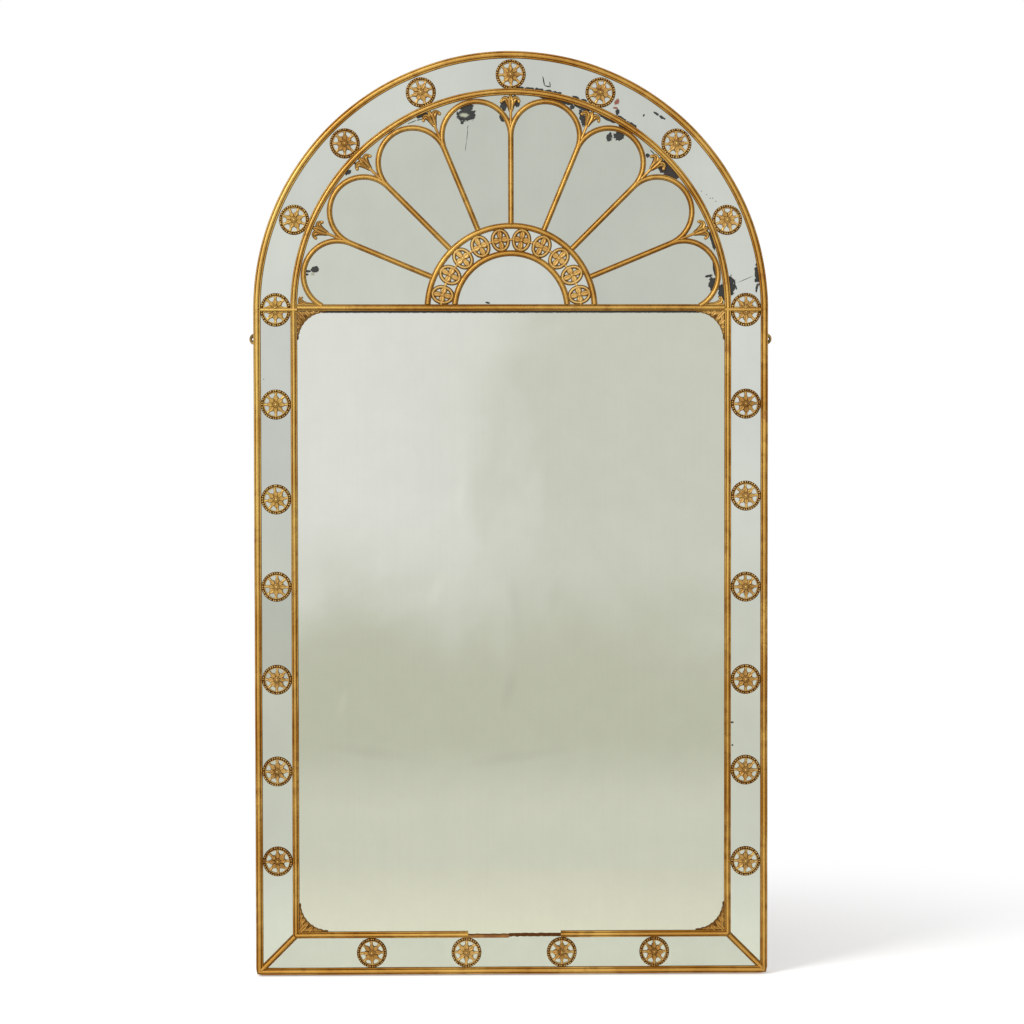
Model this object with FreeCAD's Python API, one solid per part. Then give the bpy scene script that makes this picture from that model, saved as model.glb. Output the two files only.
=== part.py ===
import FreeCAD, Part
import math
import os

# Arched wall mirror with a gilt fan over one large plate. Millimetres, +Z up, front towards -Y.
# The origin lies on the wall, midway between the two wall screws.

# Overall sizes
outer_radius = 488.0          # of the arch, and half the frame's width
leg_height = 1266.0           # spring line of the arch to the bottom edge
hang_drop = 54.0              # spring line down to the wall screws

# Pine carcass
carcass_thickness = 24.0
frame_width = 100.0           # stiles, bottom rail and arch head
spring_rail_below = 60.0      # below the spring line
spring_rail_above = 30.0      # above the spring line
arch_joint_angle = 60.0       # half-laps of the arch head, from each side
lap_length = 70.0
tenon_thickness = 8.0
tenon_length = 44.0
tenon_shoulder = 20.0         # from a member's edge to its tenon
narrow_shoulder = 10.0        # the same beside a rebate and on the spring rail
ground_thickness = 8.0        # half-round board behind the fan
ground_rebate = 12.0          # into the spring rail
ground_backing = 5.0          # beyond the edge of the fan's glass
backboard_thickness = 8.0
backboard_rebate = 12.0
backboard_count = 3
backboard_gap = 1.5
joint_clearance = 0.2

# Mirror glass
glass_thickness = 4.0
glass_clearance = 0.4
border_joint = 2.4            # open joint under each rosette
covered_joint = 1.0           # joint under a moulding, a spoke or the hub bead

# Gilt mouldings
outer_bead_width = 14.0
outer_bead_seat = 5.0         # part of its width that stands on the carcass
border_clear = 56.0           # glass seen between outer and inner moulding
inner_bead_width = 13.0
moulding_fillet = 2.8         # width of the low strip along each edge
moulding_rise = 3.4           # glass to the fillets
moulding_bead = 2.2           # fillets to the raised bead
cross_bead_lift = 4.0         # cross bead above the spring line
trim_clearance = 0.3

# Fan tracery
bay_count = 8
tracery_width = 10.5
tracery_rise = 4.4
hub_outer_radius = 158.5      # centre line of the outer hub bead
hub_band = 51.5               # to the centre line of the inner one
hub_bead_width = 11.5
roundel_count = 10
roundel_gap = 8.0             # between two roundels
roundel_rim = 3.2
roundel_boss = 4.6            # solid middle of the quatrefoil
roundel_facets = 8
roundel_window = 22.0         # half the angle of an opening between two lobes
roundel_first = 12.3          # degrees from the spring line
roundel_rise = 4.0
link_width = 4.0              # small bead between two roundels

# Border ornament
rosette_rim = 5.2
rosette_star = 8.0            # notches of the eight-pointed star
rosette_spoke = 3.4
rosette_points = 8
rosette_facets = 8            # carved rim
rosette_rise = 5.0
side_rosette_count = 6
bottom_rosette_count = 4
border_bar_width = 6.0

# Carved leaves
palmette_stem = 6.5           # width of the middle leaf
palmette_leaf = 5.0           # width of a side leaf
palmette_spread = 34.0
palmette_fork = 10.0          # where the side leaves part from the stem
palmette_drop = 13.0          # tips of the side leaves below the ring
palmette_rise = 4.5
corner_leaf_leg = 51.0
corner_leaf_tip = 5.0
corner_leaf_rise = 4.0

# Old loss in the bottom inner moulding
loss_start = -84.0
loss_end = 93.0
loss_depth = 5.0              # of the moulding's width, from its upper edge

# Brass mirror plates
plate_thickness = 2.0
ear_radius = 11.0
ear_reach = 10.5              # beyond the frame's edge
wall_hole_radius = 2.2
wall_hole_offset = 3.2        # beyond the frame's edge
plate_base_inset = 34.0       # inside the frame's edge
plate_base_width = 46.0

# Places worked out from the sizes
spring_z = hang_drop
bottom_z = hang_drop - leg_height
glass_front = carcass_thickness + glass_thickness
border_inner = outer_radius - outer_bead_width - border_clear
inner_line = border_inner - inner_bead_width / 2
inner_edge = border_inner - inner_bead_width
border_middle = border_inner + border_clear / 2
frame_inner = outer_radius - frame_width
glass_outer = outer_radius - outer_bead_seat - glass_clearance
half_joint = covered_joint / 2
ground_radius = inner_line + ground_backing
cross_z = spring_z + cross_bead_lift
cross_top = cross_z + inner_bead_width / 2
cross_bottom = cross_z - inner_bead_width / 2
bay_angle = 180.0 / bay_count
ring_clear = inner_edge - trim_clearance
half_bay = math.sin(math.radians(bay_angle / 2))
petal_centre = (ring_clear - tracery_width / 2) / (1 + half_bay)
petal_radius = petal_centre * half_bay
petal_foot = petal_centre * math.cos(math.radians(bay_angle / 2))
hub_inner_radius = hub_outer_radius - hub_band
hub_clear_outer = hub_outer_radius - hub_bead_width / 2
hub_clear_inner = hub_inner_radius + hub_bead_width / 2
hub_middle = (hub_clear_outer + hub_clear_inner) / 2
roundel_step = (180 - 2 * roundel_first) / (roundel_count - 1)
roundel_width = 2 * hub_middle * math.sin(math.radians(roundel_step / 2)) - roundel_gap
bottom_middle = bottom_z + outer_radius - border_middle
side_rosette_step = (spring_z - bottom_middle) / (side_rosette_count + 1)
bottom_rosette_step = 2 * border_middle / (bottom_rosette_count + 1)
reach = 2 * (outer_radius + leg_height)

Vector = FreeCAD.Vector
front = Vector(0, -1, 0)
side = Vector(1, 0, 0)
up = Vector(0, 0, 1)


def at(x, z, depth=0.0):
    return Vector(x, -depth, z)


def polar(radius, degrees, depth=0.0):
    angle = math.radians(degrees)
    return at(radius * math.cos(angle), spring_z + radius * math.sin(angle), depth)


def prism(points, back, face):
    corners = [at(x, z, back) for x, z in points]
    outline = Part.makePolygon(corners + corners[:1])
    return Part.Face(outline).extrude(front * (face - back))


def disc(x, z, radius, back, face):
    return Part.makeCylinder(radius, face - back, at(x, z, back), front)


def block(left, right, low, high, back, face):
    return Part.makeBox(right - left, face - back, high - low, at(left, low, face))


def above(level, back, face):
    return block(-reach, reach, level, reach, back, face)


def half_disc(radius, level, back, face):
    return disc(0, spring_z, radius, back, face).common(above(level, back, face))


def ring(inner, outer, level, back, face):
    return half_disc(outer, level, back, face).cut(disc(0, spring_z, inner, back, face))


def wedge(start, end, back, face):
    corners = [polar(0, 0), polar(reach, start), polar(reach, (start + end) / 2), polar(reach, end)]
    return prism([(p.x, p.z) for p in corners], back, face)


def slot(middle, degrees, width, back, face):
    strip = block(-reach, reach, -width / 2, width / 2, back, face)
    strip.rotate(Vector(), front, degrees)
    strip.translate(at(middle.x, middle.z))
    return strip


def mirrored(shape):
    return shape.mirror(Vector(), side)


def pieces(shape):
    return Part.makeCompound(shape.Solids)


def save(name, shape):
    shape.exportStep("parts/" + name + ".step")


# Carcass

def tenon(left, right, low, high, clearance):
    back = (carcass_thickness - tenon_thickness) / 2 - clearance
    face = (carcass_thickness + tenon_thickness) / 2 + clearance
    return block(left - clearance, right + clearance, low - clearance, high + clearance, back, face)


def stile_top_tenon(clearance=0.0):
    left = -outer_radius + tenon_shoulder
    right = -ground_radius - narrow_shoulder
    return tenon(left, right, spring_z, spring_z + tenon_length, clearance)


def bottom_rail_tenon(clearance=0.0):
    low = bottom_z + tenon_shoulder
    high = bottom_z + frame_width - tenon_shoulder
    return tenon(-frame_inner - tenon_length, -frame_inner, low, high, clearance)


def spring_rail_tenon(clearance=0.0):
    low = spring_z - spring_rail_below + narrow_shoulder
    high = spring_z - narrow_shoulder
    return tenon(-frame_inner - tenon_length, -frame_inner, low, high, clearance)


def backboard_space():
    left = -frame_inner - backboard_rebate
    low = bottom_z + frame_width - backboard_rebate
    high = spring_z - spring_rail_below + backboard_rebate
    return block(left, -left, low, high, 0, backboard_thickness)


def left_stile():
    stile = block(-outer_radius, -frame_inner, bottom_z, spring_z, 0, carcass_thickness)
    stile = stile.fuse(stile_top_tenon())
    stile = stile.cut(bottom_rail_tenon(joint_clearance))
    stile = stile.cut(spring_rail_tenon(joint_clearance))
    stile = stile.cut(backboard_space())
    return stile.cut(mirror_plate_outline(trim_clearance)).removeSplitter()


def bottom_rail():
    rail = block(-frame_inner, frame_inner, bottom_z, bottom_z + frame_width, 0, carcass_thickness)
    rail = rail.fuse([bottom_rail_tenon(), mirrored(bottom_rail_tenon())])
    return rail.cut(backboard_space()).removeSplitter()


def ground_space(clearance=0.0):
    level = spring_z + spring_rail_above - ground_rebate + clearance
    back = carcass_thickness - ground_thickness
    return half_disc(ground_radius - clearance, level, back, carcass_thickness)


def spring_rail():
    low = spring_z - spring_rail_below
    high = spring_z + spring_rail_above
    rail = block(-frame_inner, frame_inner, low, spring_z, 0, carcass_thickness)
    crest = half_disc(frame_inner, spring_z, 0, carcass_thickness)
    crest = crest.common(block(-reach, reach, spring_z, high, 0, carcass_thickness))
    rail = rail.fuse([crest, spring_rail_tenon(), mirrored(spring_rail_tenon())])
    return rail.cut(ground_space()).cut(backboard_space()).removeSplitter()


def arch_head(front_start, front_end, back_start, back_end):
    middle = carcass_thickness / 2
    head = ring(frame_inner, outer_radius, spring_z, 0, carcass_thickness).cut(ground_space())
    layers = wedge(back_start, back_end, 0, middle).fuse(
        wedge(front_start, front_end, middle, carcass_thickness))
    return head.common(layers).removeSplitter()


def arch_heads():
    lap = math.degrees(lap_length / 2 / (outer_radius - frame_width / 2))
    start = arch_joint_angle
    end = 180 - arch_joint_angle
    crown = arch_head(start - lap, end + lap, start + lap, end - lap)
    left = arch_head(end + lap, 180, end - lap, 180).cut(stile_top_tenon(joint_clearance))
    return left, crown, mirrored(left)


def backboards():
    box = backboard_space().BoundBox
    left = box.XMin + joint_clearance
    low = box.ZMin + joint_clearance
    high = box.ZMax - joint_clearance
    spare = box.XLength - 2 * joint_clearance - (backboard_count - 1) * backboard_gap
    width = spare / backboard_count
    boards = []
    for index in range(backboard_count):
        start = left + index * (width + backboard_gap)
        boards.append(block(start, start + width, low, high, 0, backboard_thickness))
    return boards


# Mirror glass

def plate(points):
    return prism(points, carcass_thickness, glass_front)


def cut_joints(glass, places, width):
    for middle, degrees in places:
        glass = glass.cut(slot(middle, degrees, width, carcass_thickness, glass_front))
    return pieces(glass)


def ray_places(radius, first, last):
    return [(polar(radius, bay_angle * ray), bay_angle * ray) for ray in range(first, last + 1)]


def side_places():
    levels = [spring_z - side_rosette_step * step for step in range(1, side_rosette_count + 1)]
    return [(at(-border_middle, z), 180) for z in levels]


def bottom_places():
    first = -bottom_rosette_step * (bottom_rosette_count - 1) / 2
    starts = [first + bottom_rosette_step * step for step in range(bottom_rosette_count)]
    return [(at(x, bottom_middle), 90) for x in starts]


def corner_place():
    return (at(-border_middle, bottom_middle), 45)


def mirrored_place(place):
    middle, degrees = place
    return (at(-middle.x, middle.z), 180 - degrees)


def main_plate():
    right = inner_line - half_joint
    low = bottom_z + outer_radius - right
    high = cross_z - half_joint
    return plate([(-right, low), (right, low), (right, high), (-right, high)])


def left_plates():
    left = -glass_outer
    right = -inner_line - half_joint
    foot = bottom_z + outer_radius
    strip = plate([(left, spring_z), (left, foot + left), (right, foot + right), (right, spring_z)])
    spring_place = (at(-border_middle, spring_z), 0)
    return cut_joints(strip, [spring_place, corner_place()] + side_places(), border_joint)


def bottom_plates():
    outer = glass_outer
    inner = inner_line + half_joint
    low = bottom_z + outer_radius - outer
    high = bottom_z + outer_radius - inner
    strip = plate([(-outer, low), (outer, low), (inner, high), (-inner, high)])
    corners = [corner_place(), mirrored_place(corner_place())]
    return cut_joints(strip, corners + bottom_places(), border_joint)


def arch_plates():
    strip = ring(inner_line + half_joint, glass_outer, spring_z, carcass_thickness, glass_front)
    return cut_joints(strip, ray_places(border_middle, 0, bay_count), border_joint)


def fan_plates():
    inner = hub_outer_radius + half_joint
    outer = inner_line - half_joint
    fan = ring(inner, outer, cross_z + half_joint, carcass_thickness, glass_front)
    return cut_joints(fan, ray_places(outer, 1, bay_count - 1), covered_joint)


def hub_plate():
    radius = hub_outer_radius - half_joint
    return half_disc(radius, cross_z + half_joint, carcass_thickness, glass_front)


# Gilt mouldings

def extruded(section, origin, across, run):
    corners = [origin + across * u + front * v for u, v in section]
    return Part.Face(Part.makePolygon(corners + corners[:1])).extrude(run)


def moulding_section(width, rebated):
    half = width / 2
    bead = half - moulding_fillet
    low = moulding_rise
    high = moulding_rise + moulding_bead
    top = [(half, low), (bead, low), (bead, high), (-bead, high), (-bead, low), (-half, low)]
    if not rebated:
        return [(-half, 0), (half, 0)] + top
    seat = half - outer_bead_seat
    return [(-half, 0), (seat, 0), (seat, -glass_thickness), (half, -glass_thickness)] + top


def band_section(width):
    half = width / 2
    return [(-half, 0), (half, 0), (half, tracery_rise), (-half, tracery_rise)]


def revolved(section, centre, radius, degrees):
    corners = [centre + side * (radius + u) + front * v for u, v in section]
    return Part.Face(Part.makePolygon(corners + corners[:1])).revolve(centre, front, degrees)


def tracery(start, end, across, width):
    return extruded(band_section(width), start, across, end - start)


def side_region():
    low = bottom_z - outer_bead_width
    left = -outer_radius - outer_bead_width
    corner = [(left, low), (0, bottom_z + outer_radius), (0, spring_z), (left, spring_z)]
    return prism(corner, 0, reach)


def bottom_region():
    low = bottom_z - outer_bead_width
    left = -outer_radius - outer_bead_width
    return prism([(left, low), (-left, low), (0, bottom_z + outer_radius)], 0, reach)


def border_mouldings(line, width, rebated):
    section = moulding_section(width, rebated)
    low = bottom_z + outer_radius - line
    foot = at(-line, bottom_z - outer_bead_width, glass_front)
    left = extruded(section, foot, -side, up * (spring_z - foot.z)).common(side_region())
    corner = at(-outer_radius, low, glass_front)
    bottom = extruded(section, corner, -up, side * (2 * outer_radius)).common(bottom_region())
    arch = revolved(section, at(0, spring_z, glass_front), line, 180)
    return left, mirrored(left), bottom, arch


def broken(bottom_bead):
    high = bottom_z + outer_radius - inner_edge
    gap = block(loss_start, loss_end, high - loss_depth, high, glass_front, glass_front + outer_bead_width)
    return bottom_bead.cut(gap)


def cross_bead():
    start = at(-ring_clear, cross_z, glass_front)
    return extruded(moulding_section(inner_bead_width, False), start, up, side * (2 * ring_clear))


def border_bar():
    left = -border_inner - border_clear + trim_clearance
    right = -border_inner - trim_clearance
    start = at(left, spring_z, glass_front)
    return tracery(start, at(right, spring_z, glass_front), up, border_bar_width)


def mitre_bar():
    left = -border_inner - border_clear + trim_clearance
    right = -border_inner - trim_clearance
    foot = bottom_z + outer_radius
    across = (up - side).normalize()
    bar = tracery(at(left - tracery_width, foot + left - tracery_width, glass_front),
                  at(right + tracery_width, foot + right + tracery_width, glass_front),
                  across, tracery_width)
    return bar.common(block(left, right, foot + left, foot + right, glass_front, reach))


# Fan

def hub_bead(radius):
    bead = revolved(band_section(hub_bead_width), at(0, spring_z, glass_front), radius, 180)
    return bead.common(above(cross_top, 0, reach))


def spoke(ray):
    degrees = bay_angle * ray
    hub_edge = hub_outer_radius + hub_bead_width / 2 + trim_clearance
    bar = tracery(polar(hub_outer_radius, degrees, glass_front), polar(petal_foot, degrees, glass_front),
                  front.cross(polar(1, degrees) - polar(0, degrees)), tracery_width)
    return bar.cut(disc(0, spring_z, hub_edge, 0, reach))


def petal(bay):
    middle = bay_angle * (bay - 0.5)
    centre = polar(petal_centre, middle, glass_front)
    turn = 90 + bay_angle / 2
    arch = revolved(band_section(tracery_width), centre, petal_radius, 2 * turn)
    arch.rotate(centre, front, middle - turn)
    arch = arch.common(wedge(bay_angle * (bay - 1), bay_angle * bay, 0, reach))
    return arch.common(above(cross_top, 0, reach))


def oval(length, width, degrees):
    angle = math.radians(degrees)
    return (length / 2 * math.cos(angle), width / 2 * math.sin(angle))


def faceted(length, width, facets):
    return [oval(length, width, 360 / facets * index) for index in range(facets)]


def roundel(length):
    face = glass_front + roundel_rise
    body = prism(faceted(length, roundel_width, roundel_facets), glass_front, face)
    inner_length = length - 2 * roundel_rim
    inner_width = roundel_width - 2 * roundel_rim
    for lobe in range(4):
        middle = 90 * lobe + 45
        window = [oval(2 * roundel_boss, 2 * roundel_boss, middle)]
        for turn in (-roundel_window, roundel_window):
            window.append(oval(inner_length, inner_width, middle + turn))
        body = body.cut(prism(window, glass_front, face))
    return body


def hub_roundels():
    pattern = roundel(hub_clear_outer - hub_clear_inner - 2 * trim_clearance)
    half_gap = roundel_gap / 2 - trim_clearance
    half_link = link_width / 2
    link = block(-half_link, half_link, -half_gap, half_gap, glass_front, glass_front + roundel_rise)
    copies = []
    for index in range(roundel_count):
        copies.append(turned(pattern, hub_middle, roundel_first + roundel_step * index))
    for index in range(roundel_count - 1):
        copies.append(turned(link, hub_middle, roundel_first + roundel_step * (index + 0.5)))
    return Part.makeCompound(copies)


def turned(pattern, radius, degrees):
    copy = pattern.copy()
    copy.rotate(Vector(), front, degrees)
    copy.translate(polar(radius, degrees))
    return copy


# Carved leaves

def leaf(start, end, width, rise):
    run = end - start
    across = front.cross(run).normalize() * (width / 2)
    middle = start + run * 0.5
    outline = Part.makePolygon([start, middle + across, end, middle - across, start])
    return Part.Face(outline).extrude(front * rise)


def palmette(degrees, lift):
    petal_edge = petal_radius + tracery_width / 2 + trim_clearance
    base = petal_foot + math.sqrt(petal_edge ** 2 - (petal_radius - lift) ** 2)
    tip = math.sqrt((ring_clear - trim_clearance) ** 2 - lift ** 2)
    stem = leaf(polar(base, 0, glass_front), polar(tip, 0, glass_front), palmette_stem, palmette_rise)
    leaves = []
    for sign in (-1, 1):
        start = polar(base + palmette_fork, 0, glass_front)
        end = polar(tip - palmette_drop, 0, glass_front) + up * (sign * palmette_spread / 2)
        leaves.append(leaf(start, end, palmette_leaf, palmette_rise))
    whole = stem.fuse(leaves)
    whole.rotate(polar(0, 0), front, degrees)
    whole.translate(up * lift)
    for bay in range(1, bay_count + 1):
        centre = polar(petal_centre, bay_angle * (bay - 0.5))
        whole = whole.cut(disc(centre.x, centre.z, petal_edge, 0, reach))
    whole = whole.common(disc(0, spring_z, ring_clear - trim_clearance, 0, reach))
    return whole.common(above(cross_top, 0, reach)).removeSplitter()


def palmettes():
    lift = cross_top - spring_z
    carved = [palmette(0, lift), palmette(180, lift)]
    for ray in range(1, bay_count):
        carved.append(palmette(bay_angle * ray, 0))
    return Part.makeCompound(carved)


def corner_leaf():
    leg = corner_leaf_leg
    tip = corner_leaf_tip
    hollow = (leg - tip) * math.sqrt(0.5)
    sides = Part.makePolygon([at(tip, leg), at(0, leg), at(0, 0), at(leg, 0), at(leg, tip)])
    scoop = Part.Arc(at(leg, tip), at(leg - hollow, leg - hollow), at(tip, leg)).toShape()
    carved = Part.Face(Part.Wire(sides.Edges + [scoop])).extrude(front * corner_leaf_rise)
    carved.translate(front * glass_front)
    return carved


def corner_leaves():
    left = -ring_clear
    low = corner_leaf()
    low.translate(at(left, bottom_z + outer_radius + left))
    high = corner_leaf().mirror(Vector(), up)
    high.translate(at(left, cross_bottom - trim_clearance))
    return Part.makeCompound([low, high, mirrored(low), mirrored(high)])


# Rosettes

def rosette():
    radius = border_clear / 2 - trim_clearance
    inner = radius - rosette_rim
    face = glass_front + rosette_rise
    body = prism(faceted(2 * radius, 2 * radius, rosette_facets), glass_front, face)
    step = 360 / rosette_points
    spoke_turn = math.degrees(math.asin(rosette_spoke / 2 / inner))
    for index in range(rosette_points):
        start = step * index
        window = [oval(2 * inner, 2 * inner, start + turn) for turn in (spoke_turn, step - spoke_turn)]
        window.append(oval(2 * rosette_star, 2 * rosette_star, start + step / 2))
        body = body.cut(prism(window, glass_front, face))
    return body


def rosettes(places):
    pattern = rosette()
    copies = []
    for middle, degrees in places:
        copy = pattern.copy()
        copy.rotate(Vector(), front, degrees)
        copy.translate(at(middle.x, middle.z))
        copies.append(copy)
    return copies


def split_rosettes():
    shift = up * (border_bar_width / 2 + trim_clearance)
    halves = []
    for whole in rosettes(ray_places(border_middle, 0, 0) + ray_places(border_middle, bay_count, bay_count)):
        upper = whole.common(above(spring_z, 0, reach))
        lower = whole.cut(above(spring_z, 0, reach))
        upper.translate(shift)
        lower.translate(-shift)
        halves.extend(upper.Solids + lower.Solids)
    return halves


# Brass mirror plates

def mirror_plate_outline(clearance):
    ear_x = -outer_radius - ear_reach + ear_radius
    ear = ear_radius + clearance
    base_x = -outer_radius + plate_base_inset + clearance
    base = plate_base_width / 2 + clearance
    run = math.hypot(base_x - ear_x, base)
    normal = math.atan2(base, base_x - ear_x) + math.acos(ear / run)
    tangent_x = ear_x + ear * math.cos(normal)
    tangent_z = ear * math.sin(normal)
    tapered = [(tangent_x, tangent_z), (tangent_x, -tangent_z), (base_x, -base), (base_x, base)]
    outline = prism(tapered, 0, plate_thickness).fuse(disc(ear_x, 0, ear, 0, plate_thickness))
    return outline.removeSplitter()


def mirror_plate():
    wall_hole = disc(-outer_radius - wall_hole_offset, 0, wall_hole_radius, 0, plate_thickness)
    return mirror_plate_outline(0).cut(wall_hole)


def build():
    os.makedirs("parts", exist_ok=True)
    stile = left_stile()
    save("stile_left", stile)
    save("stile_right", mirrored(stile))
    save("bottom_rail", bottom_rail())
    save("spring_rail", spring_rail())
    for name, head in zip(("left", "crown", "right"), arch_heads()):
        save("arch_head_" + name, head)
    save("lunette_ground", ground_space(joint_clearance))
    for index, board in enumerate(backboards()):
        save("backboard_" + str(index + 1), board)

    save("main_plate", main_plate())
    strip = left_plates()
    save("side_plates_left", strip)
    save("side_plates_right", mirrored(strip))
    save("bottom_plates", bottom_plates())
    save("arch_plates", arch_plates())
    save("fan_plates", fan_plates())
    save("hub_plate", hub_plate())

    outer_line = outer_radius - outer_bead_width / 2
    runs = ("left", "right", "bottom", "arch")
    for name, bead in zip(runs, border_mouldings(outer_line, outer_bead_width, True)):
        save("outer_bead_" + name, bead)
    for name, bead in zip(runs, border_mouldings(inner_line, inner_bead_width, False)):
        if name == "bottom":
            bead = broken(bead)
        save("inner_bead_" + name, bead)
    save("cross_bead", cross_bead())
    save("border_bar_left", border_bar())
    save("border_bar_right", mirrored(border_bar()))
    save("mitre_bar_left", mitre_bar())
    save("mitre_bar_right", mirrored(mitre_bar()))

    save("hub_bead_outer", hub_bead(hub_outer_radius))
    save("hub_bead_inner", hub_bead(hub_inner_radius))
    for ray in range(1, bay_count):
        save("spoke_" + str(ray), spoke(ray))
    save("petals", Part.makeCompound([petal(bay) for bay in range(1, bay_count + 1)]))
    save("hub_roundels", hub_roundels())
    save("palmettes", palmettes())
    save("corner_leaves", corner_leaves())

    whole = side_places() + [mirrored_place(place) for place in side_places()]
    whole = whole + bottom_places() + ray_places(border_middle, 1, bay_count - 1)
    save("rosettes", Part.makeCompound(rosettes(whole)))
    save("split_rosettes", Part.makeCompound(split_rosettes()))

    save("mirror_plate_left", mirror_plate())
    save("mirror_plate_right", mirrored(mirror_plate()))


build()
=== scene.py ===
import math
from math import cos, hypot, pi, radians, sin

import bmesh
import bpy
from mathutils import Matrix, Vector, noise


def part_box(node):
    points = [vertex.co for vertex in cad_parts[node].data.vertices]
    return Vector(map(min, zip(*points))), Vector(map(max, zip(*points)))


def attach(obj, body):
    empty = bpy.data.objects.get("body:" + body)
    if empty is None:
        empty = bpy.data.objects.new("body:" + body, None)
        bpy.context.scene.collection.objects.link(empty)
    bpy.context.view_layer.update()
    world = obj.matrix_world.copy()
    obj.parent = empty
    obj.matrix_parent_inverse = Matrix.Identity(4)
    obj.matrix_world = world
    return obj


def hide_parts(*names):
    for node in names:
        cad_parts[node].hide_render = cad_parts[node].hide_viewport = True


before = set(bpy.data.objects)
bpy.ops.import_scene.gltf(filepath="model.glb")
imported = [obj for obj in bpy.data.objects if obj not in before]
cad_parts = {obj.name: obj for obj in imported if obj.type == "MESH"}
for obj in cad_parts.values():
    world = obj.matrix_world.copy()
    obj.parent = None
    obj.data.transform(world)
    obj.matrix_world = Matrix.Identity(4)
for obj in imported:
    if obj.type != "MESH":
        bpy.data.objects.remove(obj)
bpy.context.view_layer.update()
mm = 0.001


# Sizes read from the frame, in millimetres
def cadBox(node):
    low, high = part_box(node)
    return low / mm, high / mm


archLow, archHigh = cadBox("outer_bead_arch")
leftLow, leftHigh = cadBox("outer_bead_left")
crossLow, crossHigh = cadBox("cross_bead")
mainLow, mainHigh = cadBox("main_plate")
outerRadius = archHigh.x
springZ = archLow.z  # the spring line, where the arch starts
bottomZ = leftLow.z
glassDepth = -mainLow.y
glassThickness = mainHigh.y - mainLow.y
borderInner = cadBox("inner_bead_arch")[1].x
borderOuter = -leftHigh.x
innerEdge = -cadBox("inner_bead_left")[1].x
outerWidth = outerRadius - borderOuter
innerWidth = borderInner - innerEdge
outerLine = outerRadius - outerWidth / 2
innerLine = borderInner - innerWidth / 2
borderMiddle = (borderInner + borderOuter) / 2
bottomMiddle = bottomZ + outerRadius - borderMiddle
crossZ = (crossLow.z + crossHigh.z) / 2
sides = (("left", -1), ("right", 1))
bayCount = 8
bayAngle = 180 / bayCount
hubOuterEdge = cadBox("hub_bead_outer")[1].z - springZ
hubInnerEdge = cadBox("hub_bead_inner")[1].z - springZ
print("stage sizes", round(outerRadius, 1), round(bottomZ, 1), round(crossZ, 1))


# Mesh helpers: a Shape gathers points as x, z and height over the glass, with a painted shade value from 0 to
# 1: painted shade in hollows where high, painted highlight on crests where low
class Shape:
    def __init__(self):
        self.points = []
        self.paintedShade = []
        self.faces = []

    def point(self, x, z, height, paintedShade=0.0):
        self.points.append((x, z, height))
        self.paintedShade.append(min(max(paintedShade, 0.0), 1.0))
        return len(self.points) - 1

    def add(self, other, x=0.0, z=0.0, degrees=0.0, signX=1, signZ=1):
        # a copy of another shape, mirrored where a sign is negative, then turned and moved
        start = len(self.points)
        cosine, sine = cos(radians(degrees)), sin(radians(degrees))
        for (u, v, height), paintedShade in zip(other.points, other.paintedShade):
            u, v = signX * u, signZ * v
            self.point(x + u * cosine - v * sine, z + u * sine + v * cosine, height, paintedShade)
        self.faces.extend([tuple(start + index for index in face) for face in other.faces])

    def stitch(self, rows, around=True, closed=False):
        # quads between neighbouring rows of points, and from the last row to the first if closed
        count = len(rows[0])
        for first, second in zip(rows, rows[1:] + (rows[:1] if closed else [])):
            for index in range(count if around else count - 1):
                after = (index + 1) % count
                self.faces.append((first[index], first[after], second[after], second[index]))

    def tube(self, rows, closed=False):
        # rows that each run round a section, with the ends filled unless they meet
        self.stitch(rows, closed=closed)
        if not closed:
            self.faces.append(tuple(reversed(rows[0])))
            self.faces.append(tuple(rows[-1]))

    def skirt(self, rim, foot):
        # sides from a rim down to its foot, and a flat underside
        self.stitch([rim, foot])
        self.faces.append(tuple(reversed(foot)))


def polarPoint(radius, degrees):
    return radius * cos(radians(degrees)), springZ + radius * sin(radians(degrees))


handLook = {"size": 0.011, "lift seed": 3.1, "drift seed": 8.7, "lifted above": 0.6}  # unevenness of hand work
smoothAngle = {"carving": 38, "eased edges": 9, "fixings": 35}


def handWave(x, z, seed, size=handLook["size"]):
    return noise.noise(Vector((x * size, z * size, seed)))


def shapeMesh(name, shape):
    mesh = bpy.data.meshes.new(name)
    mesh.from_pydata([(x * mm, -(glassDepth + h) * mm, z * mm) for x, z, h in shape.points], [], shape.faces)
    return mesh


def giltPiece(name, shape, finish, *nodes):
    mesh = shapeMesh(name, shape)
    mesh.attributes.new("paintedShade", "FLOAT", "POINT").data.foreach_set("value", shape.paintedShade)
    finishMesh(name, mesh, finish, nodes, smoothAngle["carving"])


def finishMesh(name, mesh, finish, nodes, smooth):
    work = bmesh.new()
    work.from_mesh(mesh)
    bmesh.ops.recalc_face_normals(work, faces=work.faces[:])
    work.to_mesh(mesh)
    work.free()
    mesh.polygons.foreach_set("use_smooth", [True] * len(mesh.polygons))
    mesh.set_sharp_from_angle(angle=radians(smooth))
    mesh.materials.append(finish)
    piece = bpy.data.objects.new(name, mesh)
    bpy.context.scene.collection.objects.link(piece)
    if nodes:
        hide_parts(*nodes)
    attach(piece, "root")


def sweep(shape, path, profile, closed=False, seed=0.0, wave=0.25):
    rows = []
    for x, z, nx, nz, shear, scale in path:
        lift = wave * handWave(x, z, seed + handLook["lift seed"])
        drift = wave * handWave(x, z, seed + handLook["drift seed"])
        row = []
        for u, height, paintedShade in profile:
            across = (u + (drift if height > 0 else 0)) * scale
            along = shear * u
            raised = height * (scale if height > 0 else 1) + (lift if height > handLook["lifted above"] else 0)
            place = (x + nx * across - nz * along, z + nz * across + nx * along)
            row.append(shape.point(*place, raised, paintedShade))
        rows.append(row)
    shape.tube(rows, closed)


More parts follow.
